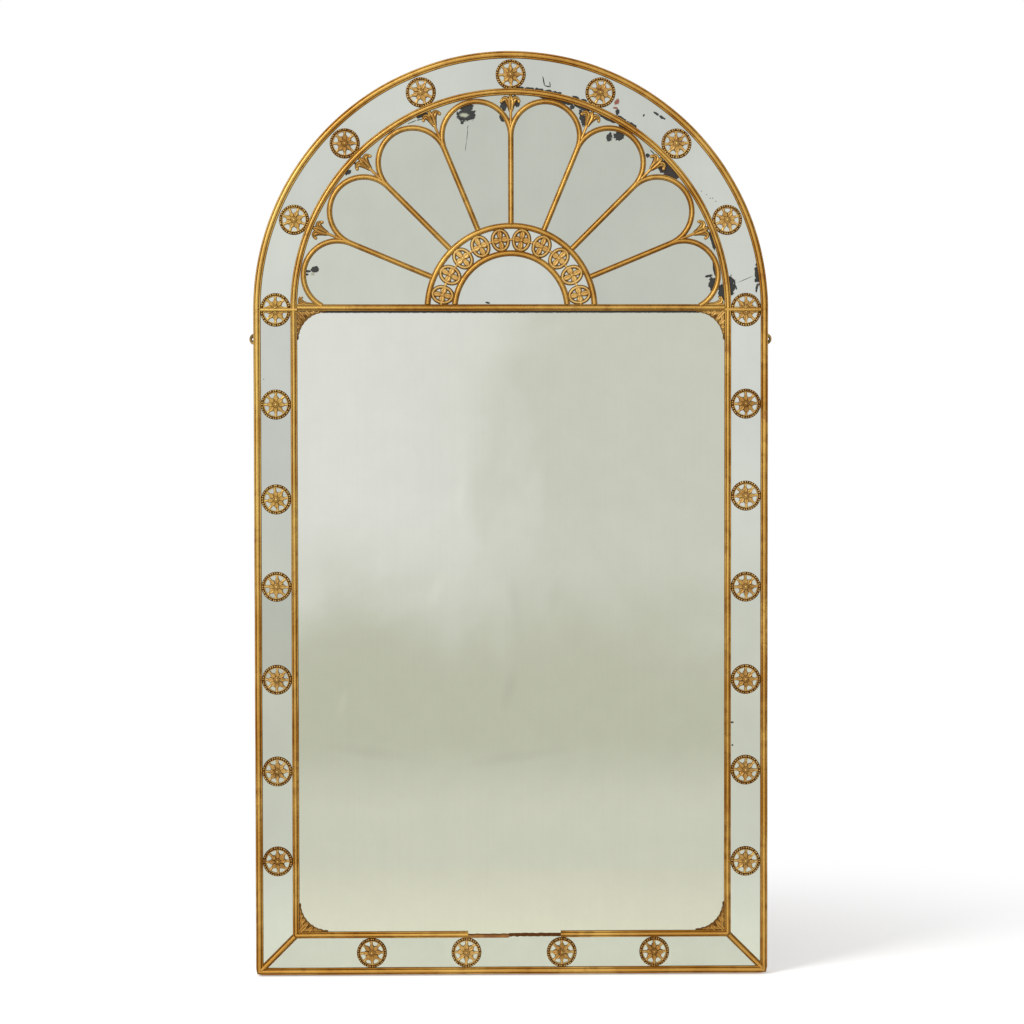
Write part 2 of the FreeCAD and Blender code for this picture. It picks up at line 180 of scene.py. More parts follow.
# Paths: each entry is a point, the direction across the path, a shear for mitred ends and a scale
def straightPath(start, end, normal, shears=(0.0, 0.0), step=4.5):
    length = hypot(end[0] - start[0], end[1] - start[1])
    count = max(2, round(length / step))
    path = []
    for index in range(count + 1):
        share = index / count
        shear = shears[0] if index == 0 else (shears[1] if index == count else 0.0)
        path.append((start[0] + (end[0] - start[0]) * share, start[1] + (end[1] - start[1]) * share,
                     normal[0], normal[1], shear, 1.0))
    return path


def arcPath(centre, radius, start, end, step=1.4):
    count = max(3, round(abs(end - start) / step))
    path = []
    for index in range(count + 1):
        angle = radians(start + (end - start) * index / count)
        nx, nz = cos(angle), sin(angle)
        path.append((centre[0] + radius * nx, centre[1] + radius * nz, nx, nz, 0.0, 1.0))
    return path


def ovalPath(radiusX, radiusZ, count=40):
    path = []
    for index in range(count):
        angle = 2 * pi * index / count
        nx, nz = cos(angle) / radiusX, sin(angle) / radiusZ
        length = hypot(nx, nz)
        path.append((radiusX * cos(angle), radiusZ * sin(angle), nx / length, nz / length, 0.0, 1.0))
    return path


def curvePath(points, widths, count=14):
    # a smooth line drawn by four control points, with the width changing along it
    path = []
    for index in range(count + 1):
        t = index / count
        weights = ((1 - t) ** 3, 3 * t * (1 - t) ** 2, 3 * t * t * (1 - t), t ** 3)
        slopes = (-3 * (1 - t) ** 2, 3 * (1 - t) * (1 - 3 * t), 3 * t * (2 - 3 * t), 3 * t * t)
        x, z = (sum(w * p[axis] for w, p in zip(weights, points)) for axis in (0, 1))
        dx, dz = (sum(w * p[axis] for w, p in zip(slopes, points)) for axis in (0, 1))
        length = hypot(dx, dz) or 1.0
        place = t * (len(widths) - 1)
        low = min(int(place), len(widths) - 2)
        scale = widths[low] + (widths[low + 1] - widths[low]) * (place - low)
        path.append((x, z, dz / length, -dx / length, 0.0, scale))
    return path


roundLook = {"draw in": 0.98, "foot painted shade": 0.75, "shade fall": 0.85}


def roundProfile(width, height, steps=7, base=0.0, shadowSkirt=0.0):
    half = width / 2
    # the foot is widened by the shadow skirt: a dark rim of painted shadow round the piece
    profile = [(-half - shadowSkirt, 0.0, 1.0), (half + shadowSkirt, 0.0, 1.0)]
    for index in range(1, steps):
        angle = pi * index / steps
        rise = sin(angle)
        profile.append((half * cos(angle) * roundLook["draw in"], base + (height - base) * rise,
                        roundLook["foot painted shade"] - roundLook["shade fall"] * rise))
    return profile


# painted shade at the foot of each dome, falling to nothing at the top
domeShade = 0.95  # at the foot, falling to nothing at the top


def dome(shape, x, z, radiusX, radiusZ, height, base=0.0, degrees=0.0, around=10, rings=4):
    cosine, sine = cos(radians(degrees)), sin(radians(degrees))
    rows = []
    for ring in range(rings):
        angle = pi / 2 * ring / rings
        row = []
        for index in range(around):
            turn = 2 * pi * index / around
            u = radiusX * cos(angle) * cos(turn)
            v = radiusZ * cos(angle) * sin(turn)
            level = base + (height - base) * sin(angle)
            place = (x + u * cosine - v * sine, z + u * sine + v * cosine)
            row.append(shape.point(*place, level, domeShade - sin(angle)))
        rows.append(row)
    shape.stitch(rows)
    top = shape.point(x, z, height, 0.0)
    for index in range(around):
        shape.faces.append((rows[-1][index], rows[-1][(index + 1) % around], top))
    shape.faces.append(tuple(reversed(rows[0])))


# a plain leaf, which each kind of leaf changes: rows and columns, outline, hollow and shading
plainLeaf = {
    "along": 9, "across": 6, "start": 0.0, "base": 0.12, "tip": 0.9, "full": 0.75, "least": 0.04,
    "notch": 0.0, "notches": 7, "groove": 0.45, "ridge": 0.55, "edge drop": 0.62, "end height": 0.72,
    "paintedShade": 1.25, "shade fall": 1.3, "shade": 1.0, "shadowSkirt": 0.0,
}


def carvedLeaf(look, length, width, height, bend=0.0):
    # a leaf from the origin up the local z axis, with raised edges and a hollow along its middle
    shape = Shape()
    along, across, start = look["along"], look["across"], look["start"]
    ridgeLine, shadowSkirt = look["ridge"], look["shadowSkirt"]
    rows = []
    for index in range(along + 1):
        t = index / along
        swell = sin(pi * min(1.0, look["base"] + (1 - look["base"]) * t) ** look["tip"])
        spread = swell ** look["full"] if t < 1 else 0.0
        frill = 1 + look["notch"] * cos(t * pi * look["notches"])
        half = max(look["least"] * width, width / 2 * spread * frill)
        arched = look["end height"] + (1 - look["end height"]) * sin(pi * t)
        row = []
        for column in range(across + 1):
            s = 2 * column / across - 1
            hollow = look["groove"] * (1 - min(1.0, abs(s) / ridgeLine))
            ridge = 1 - hollow - look["edge drop"] * max(0.0, (abs(s) - ridgeLine) / (1 - ridgeLine))
            paintedShade = look["shade"] * (look["paintedShade"] - look["shade fall"] * ridge)
            place = (bend * t * t + half * s, start + length * t)
            row.append(shape.point(*place, height * ridge * arched, paintedShade))
        rows.append(row)
    shape.stitch(rows, around=False)
    rim = rows[0] + [row[-1] for row in rows[1:]] + rows[-1][-2::-1] + [row[0] for row in rows[-2:0:-1]]
    rim.reverse()
    # the foot spreads out by the shadow skirt into a dark rim of painted shadow
    foot = []
    for index in rim:
        x, z, level = shape.points[index]
        share = (z - start) / length
        side = max(-1.0, min(1.0, x - bend * share * share))
        foot.append(shape.point(x + shadowSkirt * side, start + share * (length + 2 * shadowSkirt), 0.0, 1.0))
    shape.skirt(rim, foot)
    return shape


# Shader helpers
def newGroup(name, inputs, outputs):
    group = bpy.data.node_groups.new(name, "ShaderNodeTree")
    for way, sockets in (("INPUT", inputs), ("OUTPUT", outputs)):
        for socket, kind in sockets.items():
            group.interface.new_socket(socket, in_out=way, socket_type="NodeSocket" + kind)
    return group, group.nodes.new("NodeGroupInput").outputs, group.nodes.new("NodeGroupOutput").inputs


def wire(tree, value, socket):
    if isinstance(value, bpy.types.NodeSocket):
        tree.links.new(value, socket)
    else:
        socket.default_value = value


def calc(tree, operation, first, second=0.0, clamp=False):
    node = tree.nodes.new("ShaderNodeMath")
    node.operation = operation
    node.use_clamp = clamp
    wire(tree, first, node.inputs[0])
    wire(tree, second, node.inputs[1])
    return node.outputs[0]


def times(tree, first, second):
    return calc(tree, "MULTIPLY", first, second)


def larger(tree, first, second):
    return calc(tree, "MAXIMUM", first, second)


def vectorCalc(tree, operation, first, second):
    node = tree.nodes.new("ShaderNodeVectorMath")
    node.operation = operation
    wire(tree, first, node.inputs[0])
    wire(tree, second, node.inputs["Scale" if operation == "SCALE" else 1])
    return node.outputs["Value" if operation == "DOT_PRODUCT" else "Vector"]


def scaled(tree, vector, factors):
    return vectorCalc(tree, "MULTIPLY", vector, factors)


def shaded(tree, colour, share):
    return vectorCalc(tree, "SCALE", colour, share)


def splitPlace(tree, place):
    node = tree.nodes.new("ShaderNodeSeparateXYZ")
    wire(tree, place, node.inputs[0])
    return node.outputs


def mixColour(tree, factor, first, second):
    node = tree.nodes.new("ShaderNodeMix")
    node.data_type = "RGBA"
    wire(tree, factor, node.inputs[0])
    wire(tree, first, node.inputs[6])
    wire(tree, second, node.inputs[7])
    return node.outputs[2]


def noiseValue(tree, vector, scale, detail=4.0, rough=0.55, distort=0.0):
    node = tree.nodes.new("ShaderNodeTexNoise")
    wire(tree, vector, node.inputs["Vector"])
    wire(tree, scale, node.inputs["Scale"])
    node.inputs["Detail"].default_value = detail
    node.inputs["Roughness"].default_value = rough
    node.inputs["Distortion"].default_value = distort
    return node.outputs["Fac"]


def stretch(tree, value, low, high, first=0.0, second=1.0):
    node = tree.nodes.new("ShaderNodeMapRange")
    node.interpolation_type = "SMOOTHSTEP"
    names = ("Value", "From Min", "From Max", "To Min", "To Max")
    for name, entry in zip(names, (value, low, high, first, second)):
        wire(tree, entry, node.inputs[name])
    return node.outputs["Result"]


def useGroup(tree, group, values):
    node = tree.nodes.new("ShaderNodeGroup")
    node.node_tree = group
    for name, value in values.items():
        wire(tree, value, node.inputs[name])
    return node.outputs


def newMaterial(name):
    material = bpy.data.materials.new(name)
    material.use_nodes = True
    tree = material.node_tree
    place = tree.nodes.new("ShaderNodeTexCoord").outputs["Object"]
    return material, tree, tree.nodes["Principled BSDF"], place


def bumpNormal(tree, height, distance, strength=1.0):
    node = tree.nodes.new("ShaderNodeBump")
    node.inputs["Strength"].default_value = strength
    node.inputs["Distance"].default_value = distance
    wire(tree, height, node.inputs["Height"])
    return node.outputs["Normal"]


def attributeValue(tree, name):
    node = tree.nodes.new("ShaderNodeAttribute")
    node.attribute_name = name
    return node.outputs["Fac"]


# Worn patches, shared by gilding, pine and metal
def wornGroup():
    group, given, out = newGroup(
        "wornPatches", {"Place": "Vector", "Patch Scale": "Float", "Speck Scale": "Float", "Amount": "Float"},
        {"Patches": "Float", "Specks": "Float", "Grain": "Float"})
    wide = noiseValue(group, given["Place"], given["Patch Scale"], 5.0, 0.6, 0.4)
    fine = noiseValue(group, given["Place"], given["Speck Scale"], 3.0, 0.6)
    low = times(group, calc(group, "SUBTRACT", 1.0, given["Amount"]), 0.72)
    wire(group, stretch(group, wide, low, calc(group, "ADD", low, 0.16)), out["Patches"])
    wire(group, stretch(group, fine, 0.58, 0.72), out["Specks"])
    wire(group, fine, out["Grain"])
    return group


wornPatches = wornGroup()


def wear(tree, place, look):
    return useGroup(tree, wornPatches, {"Place": place, "Amount": look["wear"],
                                        "Patch Scale": look["patch scale"], "Speck Scale": look["speck scale"]})


# Gilding: painted highlight on the crests, painted shade in the hollows, red clay showing where it is worn
giltLook = {
    "gold": (0.385, 0.166, 0.019, 1), "pale": (0.61, 0.375, 0.095, 1), "deep": (0.24, 0.084, 0.008, 1),
    "shadow": (0.085, 0.03, 0.004, 1), "bole": (0.30, 0.10, 0.02, 1), "lemon": (0.63, 0.43, 0.125, 1),
    "wear": 0.2, "redness": 0.62, "roughness": 0.52, "metallic": 0.78,
    "patch scale": 24.0, "speck scale": 230.0,
}
giltTones = ("gold", "pale", "deep", "shadow", "bole", "lemon")


def gildingGroup():
    inputs = {"Place": "Vector", "Cavity": "Float", "Patches": "Float", "Specks": "Float", "Redness": "Float"}
    inputs.update({tone.title(): "Color" for tone in giltTones})
    group, given, out = newGroup("gilding", inputs, {"Colour": "Color", "Dull": "Float", "Streak": "Float"})
    place, paintedShade = given["Place"], given["Cavity"]
    broad = noiseValue(group, place, 8.0, 3.0)
    streak = noiseValue(group, place, 52.0, 2.0, 0.5)
    colour = mixColour(group, stretch(group, broad, 0.35, 0.68), given["Gold"], given["Pale"])
    colour = mixColour(group, stretch(group, streak, 0.46, 0.74, 0.0, 0.6), colour, given["Deep"])
    # painted highlight: the crests, where the painted shade value is lowest, mixed towards the pale tone
    colour = mixColour(group, stretch(group, paintedShade, 0.0, 0.25, 0.38, 0.0), colour, given["Pale"])
    # painted light on the upper left of the frame: mixed towards the lemon tone, paler on most gilding and
    # darker on the corner leaves
    split = splitPlace(group, place)
    leftSide = stretch(group, split["X"], -0.30, -0.47)
    upper = stretch(group, split["Z"], -0.62, -0.25)
    bright = times(group, times(group, leftSide, upper), stretch(group, broad, 0.3, 0.55, 0.25, 0.8))
    colour = mixColour(group, bright, colour, given["Lemon"])
    red = times(group, given["Patches"], given["Redness"])
    colour = mixColour(group, red, colour, given["Bole"])
    colour = mixColour(group, times(group, given["Specks"], 0.3), colour, given["Deep"])
    # painted shade: the hollows darkened towards the shadow tone
    colour = mixColour(group, stretch(group, paintedShade, 0.3, 1.0), colour, given["Shadow"])
    wire(group, colour, out["Colour"])
    wire(group, calc(group, "ADD", red, stretch(group, paintedShade, 0.3, 0.9), True), out["Dull"])
    wire(group, streak, out["Streak"])
    return group


gilding = gildingGroup()


def giltMaterial(name, **changes):
    look = dict(giltLook, **changes)
    material, tree, shader, place = newMaterial(name)
    patches = wear(tree, place, look)
    values = {"Place": place, "Cavity": attributeValue(tree, "paintedShade"), "Patches": patches["Patches"],
              "Specks": patches["Specks"], "Redness": look["redness"]}
    values.update({tone.title(): look[tone] for tone in giltTones})
    leaf = useGroup(tree, gilding, values)
    wire(tree, leaf["Colour"], shader.inputs["Base Color"])
    wire(tree, stretch(tree, leaf["Dull"], 0.0, 1.0, look["metallic"], 0.25), shader.inputs["Metallic"])
    wire(tree, stretch(tree, leaf["Dull"], 0.0, 1.0, look["roughness"], 0.72), shader.inputs["Roughness"])
    shader.inputs["Specular IOR Level"].default_value = 0.1
    height = calc(tree, "ADD", patches["Grain"], times(tree, leaf["Streak"], 1.4))
    wire(tree, bumpNormal(tree, height, 0.0003, 0.3), shader.inputs["Normal"])
    return material


gilt = giltMaterial("oldGilding")
# copies of the gilding in other tones for the carved pieces: a paler, less metallic one for the hub roundels
brightGilt = giltMaterial("paleGilding", gold=(0.52, 0.295, 0.075, 1), pale=(0.74, 0.51, 0.18, 1),
                          deep=(0.42, 0.2, 0.04, 1), metallic=0.35, roughness=0.58, redness=0.186)
carvedGilt = giltMaterial("carvedGilding", gold=(0.47, 0.255, 0.062, 1), pale=(0.66, 0.44, 0.15, 1),
                          metallic=0.55, redness=0.248)
leafGilt = giltMaterial("leafGilding", gold=(0.47, 0.245, 0.05, 1), pale=(0.68, 0.44, 0.14, 1),
                        lemon=(0.30, 0.175, 0.055, 1), redness=0.186)
palmetteGilt = giltMaterial("palmetteGilding", gold=(0.38, 0.185, 0.033, 1), pale=(0.58, 0.36, 0.10, 1),
                            lemon=(0.40, 0.24, 0.07, 1), redness=0.186)
bareBole = giltMaterial("brokenGilding", gold=(0.27, 0.115, 0.03, 1), pale=(0.36, 0.18, 0.055, 1),
                        bole=(0.16, 0.055, 0.02, 1), wear=0.5, metallic=0.2, roughness=0.6)

# Pine: growth rings and fibre along the grain, a few knots, old dirt
pineLook = {
    "light": (0.44, 0.265, 0.125, 1), "dark": (0.22, 0.115, 0.048, 1), "grime": (0.10, 0.056, 0.029, 1),
    "knot": (0.10, 0.045, 0.017, 1), "knots": 3.4, "knot draw": 0.25, "rings": 46.0, "fibres": 414.0,
    "wear": 0.24, "soil draw": 0.6, "patch scale": 30.0, "speck scale": 400.0, "roughness": 0.72,
}


def pineGroup():
    # knots are drawn out a little along the grain and seen on the flat of a board
    inputs = {"Along": "Vector", "Knot Place": "Vector", "Knots": "Float", "Rings": "Float", "Fibres": "Float"}
    group, given, out = newGroup("pineGrain", inputs, {"Rings": "Float", "Fibre": "Float", "Knot": "Float"})
    split = splitPlace(group, given["Knot Place"])
    flat = group.nodes.new("ShaderNodeCombineXYZ")
    wire(group, split["X"], flat.inputs["X"])
    wire(group, split["Z"], flat.inputs["Y"])
    cells = group.nodes.new("ShaderNodeTexVoronoi")
    cells.voronoi_dimensions = "2D"
    wire(group, flat.outputs[0], cells.inputs["Vector"])
    wire(group, given["Knots"], cells.inputs["Scale"])
    distance = cells.outputs["Distance"]
    rings = noiseValue(group, given["Along"], given["Rings"], 5.0, 0.6, 1.2)
    wire(group, calc(group, "ADD", rings, stretch(group, distance, 0.03, 0.2, 0.3, 0.0)), out["Rings"])
    wire(group, noiseValue(group, given["Along"], given["Fibres"], 3.0, 0.7), out["Fibre"])
    wire(group, stretch(group, distance, 0.02, 0.06, 0.85, 0.0), out["Knot"])
    return group


pineGrain = pineGroup()


def pineMaterial(name, grain, **changes):
    look = dict(pineLook, **changes)
    material, tree, shader, place = newMaterial(name)
    knotPlace = scaled(tree, place, [share ** look["knot draw"] for share in grain])
    soilPlace = scaled(tree, place, [share ** look["soil draw"] for share in grain])
    wood = useGroup(tree, pineGrain, {"Along": scaled(tree, place, grain), "Knot Place": knotPlace,
                                      "Knots": look["knots"], "Rings": look["rings"], "Fibres": look["fibres"]})
    soil = wear(tree, soilPlace, look)
    broad = noiseValue(tree, place, 2.6, 3.0)
    colour = mixColour(tree, stretch(tree, wood["Rings"], 0.36, 0.66), look["light"], look["dark"])
    colour = mixColour(tree, stretch(tree, wood["Fibre"], 0.5, 0.8, 0.0, 0.5), colour, look["dark"])
    colour = mixColour(tree, wood["Knot"], colour, look["knot"])
    colour = mixColour(tree, stretch(tree, broad, 0.38, 0.66, 0.0, 0.45), colour, look["grime"])
    colour = mixColour(tree, times(tree, soil["Patches"], 0.45), colour, look["grime"])
    wire(tree, colour, shader.inputs["Base Color"])
    rough = stretch(tree, wood["Fibre"], 0.3, 0.8, look["roughness"] - 0.08, look["roughness"] + 0.14)
    wire(tree, rough, shader.inputs["Roughness"])
    height = calc(tree, "ADD", wood["Rings"], wood["Fibre"])
    wire(tree, bumpNormal(tree, height, 0.0005, 0.5), shader.inputs["Normal"])
    return material


pineUpright = pineMaterial("pineUpright", (1.0, 1.0, 0.07))
pineAcross = pineMaterial("pineAcross", (0.07, 1.0, 1.0))
pineBoard = pineMaterial("pineBoards", (0.8, 1.0, 0.05), light=(0.36, 0.22, 0.11, 1))

metalLook = {
    "brass": (0.50, 0.34, 0.12, 1), "tarnish": (0.13, 0.08, 0.03, 1), "steel": (0.21, 0.2, 0.185, 1),
    "rust": (0.14, 0.06, 0.03, 1), "hollow": (0.05, 0.028, 0.01, 1), "wear": 0.45,
    "patch scale": 90.0, "speck scale": 900.0,
}


def metalMaterial(name, look, bright, dirty, rough, hollow=False):
    material, tree, shader, place = newMaterial(name)
    age = wear(tree, place, look)
    spots = larger(tree, age["Patches"], age["Specks"])
    colour = mixColour(tree, times(tree, spots, 0.8), look[bright], look[dirty])
    # painted shade in the countersunk hole of each ear, where the tone attribute is set
    if hollow:
        colour = mixColour(tree, attributeValue(tree, "tone"), colour, look["hollow"])
    wire(tree, colour, shader.inputs["Base Color"])
    wire(tree, stretch(tree, spots, 0.0, 1.0, rough, rough + 0.3), shader.inputs["Roughness"])
    wire(tree, stretch(tree, spots, 0.0, 1.0, 0.95, 0.5), shader.inputs["Metallic"])
    wire(tree, bumpNormal(tree, age["Grain"], 0.0001, 0.4), shader.inputs["Normal"])
    return material


brass = metalMaterial("dullBrass", metalLook, "brass", "tarnish", 0.34, True)
steel = metalMaterial("oldSteel", metalLook, "steel", "rust", 0.42)
print("stage gilding, pine and metal")


# Old mirror glass: tone and painted reflections from broad soft shapes, silvering lost in spots
glassLook = {
    "upper": (0.65, 0.66, 0.59, 1), "middle": (0.485, 0.50, 0.385, 1), "lower": (0.58, 0.596, 0.48, 1),
    "foot": (0.592, 0.595, 0.472, 1), "left light": (0.72, 0.735, 0.675, 1),
    "right shade": (0.525, 0.545, 0.44, 1), "border": (0.60, 0.625, 0.575, 1),
    "border foot": (0.59, 0.614, 0.515, 1), "arch": (0.595, 0.62, 0.565, 1), "fan": (0.52, 0.538, 0.474, 1),
    "bare": (0.014, 0.015, 0.013, 1), "bare rim": (0.003, 0.003, 0.0025, 1), "brown": (0.016, 0.008, 0.005, 1),
    "faded": (0.40, 0.41, 0.30, 1), "red": (0.30, 0.12, 0.085, 1), "crack": (0.045, 0.047, 0.04, 1),
    "scratch": (0.006, 0.005, 0.004, 1), "shadow line": (0.012, 0.008, 0.005, 1), "roughness": 0.035,
}
# silvering lost: x, height over the spring line, half length, half width in millimetres, turn, raggedness
lostSpots = {
    "bare": [
        (-84.5, 368, 18, 12.5, 0, 0.5), (-84, 382, 13.5, 10, 0, 0.4), (-92, 353.5, 3, 3.6, 0, 0.4),
        (-371, 76.4, 8, 6.2, 0, 0.35), (-384, 72.8, 5.5, 2.2, 0, 0.5), (-386, 66.7, 3.2, 2, 0, 0.5),
        (-13.5, 389, 6.5, 13, 0, 0.5), (-17, 361, 7.5, 3.6, -55, 0.6), (12.4, 388.6, 5, 5.5, 0, 0.6),
        (7.4, 402, 3.2, 3.2, 0, 0.4), (-43.9, 13.2, 4.4, 2.2, -20, 0.6), (-167, 367, 12, 3.4, 27, 0.5),
        (-171, 359, 7, 1.1, 13, 0.7), (-186, 354.4, 9, 0.9, 21, 0.7), (202, 373, 6.5, 3.6, 75, 0.6),
        (187, 326, 8.5, 6, 75, 0.8), (205, 328.5, 9.5, 8.8, 0, 0.7), (275.5, 370.5, 6, 2.4, -28, 0.9),
        (287, 363, 6.5, 2.6, -30, 0.9), (252, 367, 2.5, 1.4, 60, 0.6), (260, 291, 4.6, 4, 0, 0.6),
        (268, 298, 5.6, 1.1, -45, 0.4), (382, 132, 20, 3.6, -74, 0.6), (386, 81, 17, 2.8, -85, 0.6),
        (384, 48, 14, 9, 90, 0.6), (376, 64, 7, 2.4, 15, 0.8), (401, 33, 17, 8, 90, 0.4),
        (415, 44.5, 18, 12.5, 90, 0.6), (469, 69, 20, 7, 90, 0.6), (466.5, 41, 8, 2, 85, 0.9),
        (135.3, 363, 15, 5, -77, 0.7), (139.7, 378.5, 8.5, 3.6, -20, 0.6), (116.3, 382.5, 5, 4, 0, 0.6),
        (-292.6, 273.6, 7, 2, -60, 0.7), (-307.4, 259.7, 6.5, 4, 45, 0.7),
        (361.2, 224, 1.1, 0.8, 0, 0.6), (370.7, 217.6, 1.2, 0.8, 30, 0.6), (377.9, 210.9, 1.0, 0.9, 0, 0.6),
        (382.7, 210.9, 1.1, 0.7, 60, 0.6), (388.6, 205, 1.2, 0.8, 0, 0.6),
    ],
    "specks": [(420, -785.6, 2.8, 1.8, 0, 0.7), (421.4, -829.3, 2.2, 2.1, 0, 0.7),
               (-469, -131, 1.2, 1.0, 0, 0.6), (-465, -160, 1.0, 1.0, 0, 0.6)],
    "brown": [(299, 264, 24, 14, -42, 0.4), (283, 270, 7, 5, 0, 0.5)],
    "faded": [(-88, 367, 11, 5.4, 0, 0.4), (-375, 67.5, 5.6, 4.2, 0, 0.3)],
    "red": [(201, 393, 6, 5, 40, 0.9), (198.5, 381, 6, 2.4, 0, 0.8)],
    "crack": [(-81.4, 344.5, 5, 0.7, 75, 0.1), (-82.4, 330, 15, 0.7, 85, 0.1), (-85, 309, 12, 0.6, 83, 0.1),
              (445, 57.5, 19, 0.7, 23, 0.1)],
    "scratch": [(62.3, 432, 11, 1.3, -79, 0.2), (69.7, 421.6, 7, 1.4, -13, 0.2),
                (74.3, 425.6, 6.5, 1.1, 97, 0.2)],
}
# dark bare marks along both sides of the inner ring, by radius: degrees, half length, half width, raggedness
ringMarks = {
    419: [(87.6, 7, 2.2, 0.7), (85.2, 9, 2.6, 0.8), (82.6, 9, 2.8, 0.8), (80.0, 8, 2.6, 0.8),
          (77.6, 8, 2.4, 0.8), (72.8, 8, 2.6, 0.8), (70.6, 6, 2.2, 0.7), (59.8, 9, 2.2, 0.7),
          (56.6, 11, 2.4, 0.8)],
    404: [(80, 14, 3, 0.5), (75.5, 18, 3.2, 0.5), (70.5, 16, 3, 0.5), (63, 16, 3, 0.5), (58, 14, 2.6, 0.5)],
}
for radius, marks in ringMarks.items():
    for degrees, along, across, ragged in marks:
        x, z = radius * cos(radians(degrees)), radius * sin(radians(degrees))
        lostSpots["bare"].append((x, z, along, across, degrees - 90, ragged))
# painted reflections: soft folds of light and shade in the main plate, placed like the spots, each with its
# share of brightness
lightFolds = [
    ((-94, -343, 60, 18, 82, 0.6), 0.049), ((5, -552, 66, 20, -81, 0.6), -0.063),
    ((-5, -722, 52, 18, 77, 0.6), -0.063), ((-145, -535, 56, 20, 70, 0.6), 0.056),
    ((77, -552, 60, 20, 72, 0.6), -0.0308), ((-322, -745, 34, 12, 75, 0.6), 0.042),
    ((-270, -840, 110, 18, -8, 0.6), -0.042), ((10, -850, 130, 16, 8, 0.6), -0.0392),
]


def lostGroup():
    # how deep a place lies inside one ragged oval: 1 at its centre, 0 at its edge
    group, given, out = newGroup(
        "lostSilver", {"Place": "Vector", "Wander": "Float", "Ragged": "Float", "Centre": "Vector",
                       "Along": "Vector", "Across": "Vector"}, {"Depth": "Float"})
    shift = vectorCalc(group, "SUBTRACT", given["Place"], given["Centre"])
    u = vectorCalc(group, "DOT_PRODUCT", shift, given["Along"])
    v = vectorCalc(group, "DOT_PRODUCT", shift, given["Across"])
    reach = calc(group, "SQRT", calc(group, "ADD", times(group, u, u), times(group, v, v)))
    push = times(group, given["Wander"], given["Ragged"])
    wire(group, calc(group, "SUBTRACT", 1.0, calc(group, "ADD", reach, push)), out["Depth"])
    return group


def silverGroup():
    # what every plate shares: clouds of painted reflection, and what age does: mottling, brushed lines, specks,
    # ragged edges and ripples
    outputs = ("Cloud", "Shade", "Specks", "Wander", "Ripple")
    group, given, out = newGroup("agedSilver", {"Place": "Vector"}, {name: "Float" for name in outputs})
    flat = scaled(group, given["Place"], (1.0, 0.0, 1.0))
    wire(group, noiseValue(group, scaled(group, flat, (1.0, 1.0, 0.75)), 4.2, 3.0, 0.5, 0.5), out["Cloud"])
    mottle = stretch(group, noiseValue(group, flat, 17.0, 3.0, 0.6), 0.3, 0.75, 0.985, 1.012)
    brushed = noiseValue(group, scaled(group, flat, (130.0, 1.0, 2.5)), 1.0, 2.0, 0.5)
    wire(group, times(group, mottle, stretch(group, brushed, 0.3, 0.7, 0.996, 1.004)), out["Shade"])
    wire(group, stretch(group, noiseValue(group, flat, 150.0, 1.0, 0.5), 0.83, 0.85), out["Specks"])
    ragged = calc(group, "SUBTRACT", noiseValue(group, flat, 150.0, 3.0, 0.6), 0.5)
    wire(group, times(group, ragged, 3.0), out["Wander"])
    wire(group, noiseValue(group, flat, 7.0, 2.0, 0.4), out["Ripple"])
    return group


lostSilver = lostGroup()
agedSilver = silverGroup()


def spotDepth(tree, place, wander, spots):
    depth = None
    for x, z, along, across, turn, ragged in spots:
        cosine, sine = cos(radians(turn)), sin(radians(turn))
        spot = useGroup(tree, lostSilver, {
            "Place": place, "Wander": wander, "Ragged": ragged, "Centre": (x * mm, 0, (springZ + z) * mm),
            "Along": (cosine / along / mm, 0, sine / along / mm),
            "Across": (-sine / across / mm, 0, cosine / across / mm)})["Depth"]
        depth = larger(tree, depth, spot) if depth else spot
    return depth


# where the main plate's painted reflections change, in metres from the frame's origin
mainLook = {
    "middle": (-0.30, -0.68), "lower": (-0.75, -0.91), "foot": (-1.006, -1.02), "upper half": (-0.62, -0.28),
    "left": (0.1, -0.36), "left share": 0.85, "right": (-0.08, 0.08), "right share": 0.65,
    "drift": 0.32, "foot drift": 0.06,
}
shadowLineLook = {"depth": 3.4, "end": innerEdge - 42, "blur": 0.8, "fade": 8.0}  # in millimetres


# painted reflections on the main plate: bands of light and shade down its height, a lighter left, a shaded
# right and soft folds
def mainReflections(tree, look, place, split, cloud):
    uneven = calc(tree, "SUBTRACT", cloud, 0.5)
    drift = times(tree, uneven, look["drift"])
    level = calc(tree, "ADD", split["Z"], drift)
    across = calc(tree, "ADD", split["X"], drift)
    footLevel = calc(tree, "ADD", split["Z"], times(tree, drift, look["foot drift"]))
    colour = mixColour(tree, stretch(tree, level, *look["middle"]), glassLook["upper"], glassLook["middle"])
    colour = mixColour(tree, stretch(tree, split["Z"], *look["lower"]), colour, glassLook["lower"])
    colour = mixColour(tree, stretch(tree, footLevel, *look["foot"]), colour, glassLook["foot"])
    for fold, share in lightFolds:
        depth = spotDepth(tree, place, uneven, [fold])
        colour = shaded(tree, colour, stretch(tree, depth, 0.0, 0.95, 1.0, 1.0 + share))
    upper = stretch(tree, level, *look["upper half"])
    for side, tone in (("left", "left light"), ("right", "right shade")):
        beside = times(tree, stretch(tree, across, *look[side], 0.0, look[side + " share"]), upper)
        colour = mixColour(tree, beside, colour, glassLook[tone])
    return colour


def shadowLineMask(tree, look, split, wander):
    # painted shadow: a dark, unsilvered line along the top of the main plate, under the cross bead
    top, end = (crossLow.z - look["depth"]) * mm, look["end"] * mm
    blur = look["blur"] * mm
    level = calc(tree, "ADD", split["Z"], times(tree, wander, blur))
    dark = stretch(tree, level, top - blur, top + blur)
    inside = stretch(tree, calc(tree, "ABSOLUTE", split["X"]), end, end - look["fade"] * mm)
    return times(tree, dark, inside)


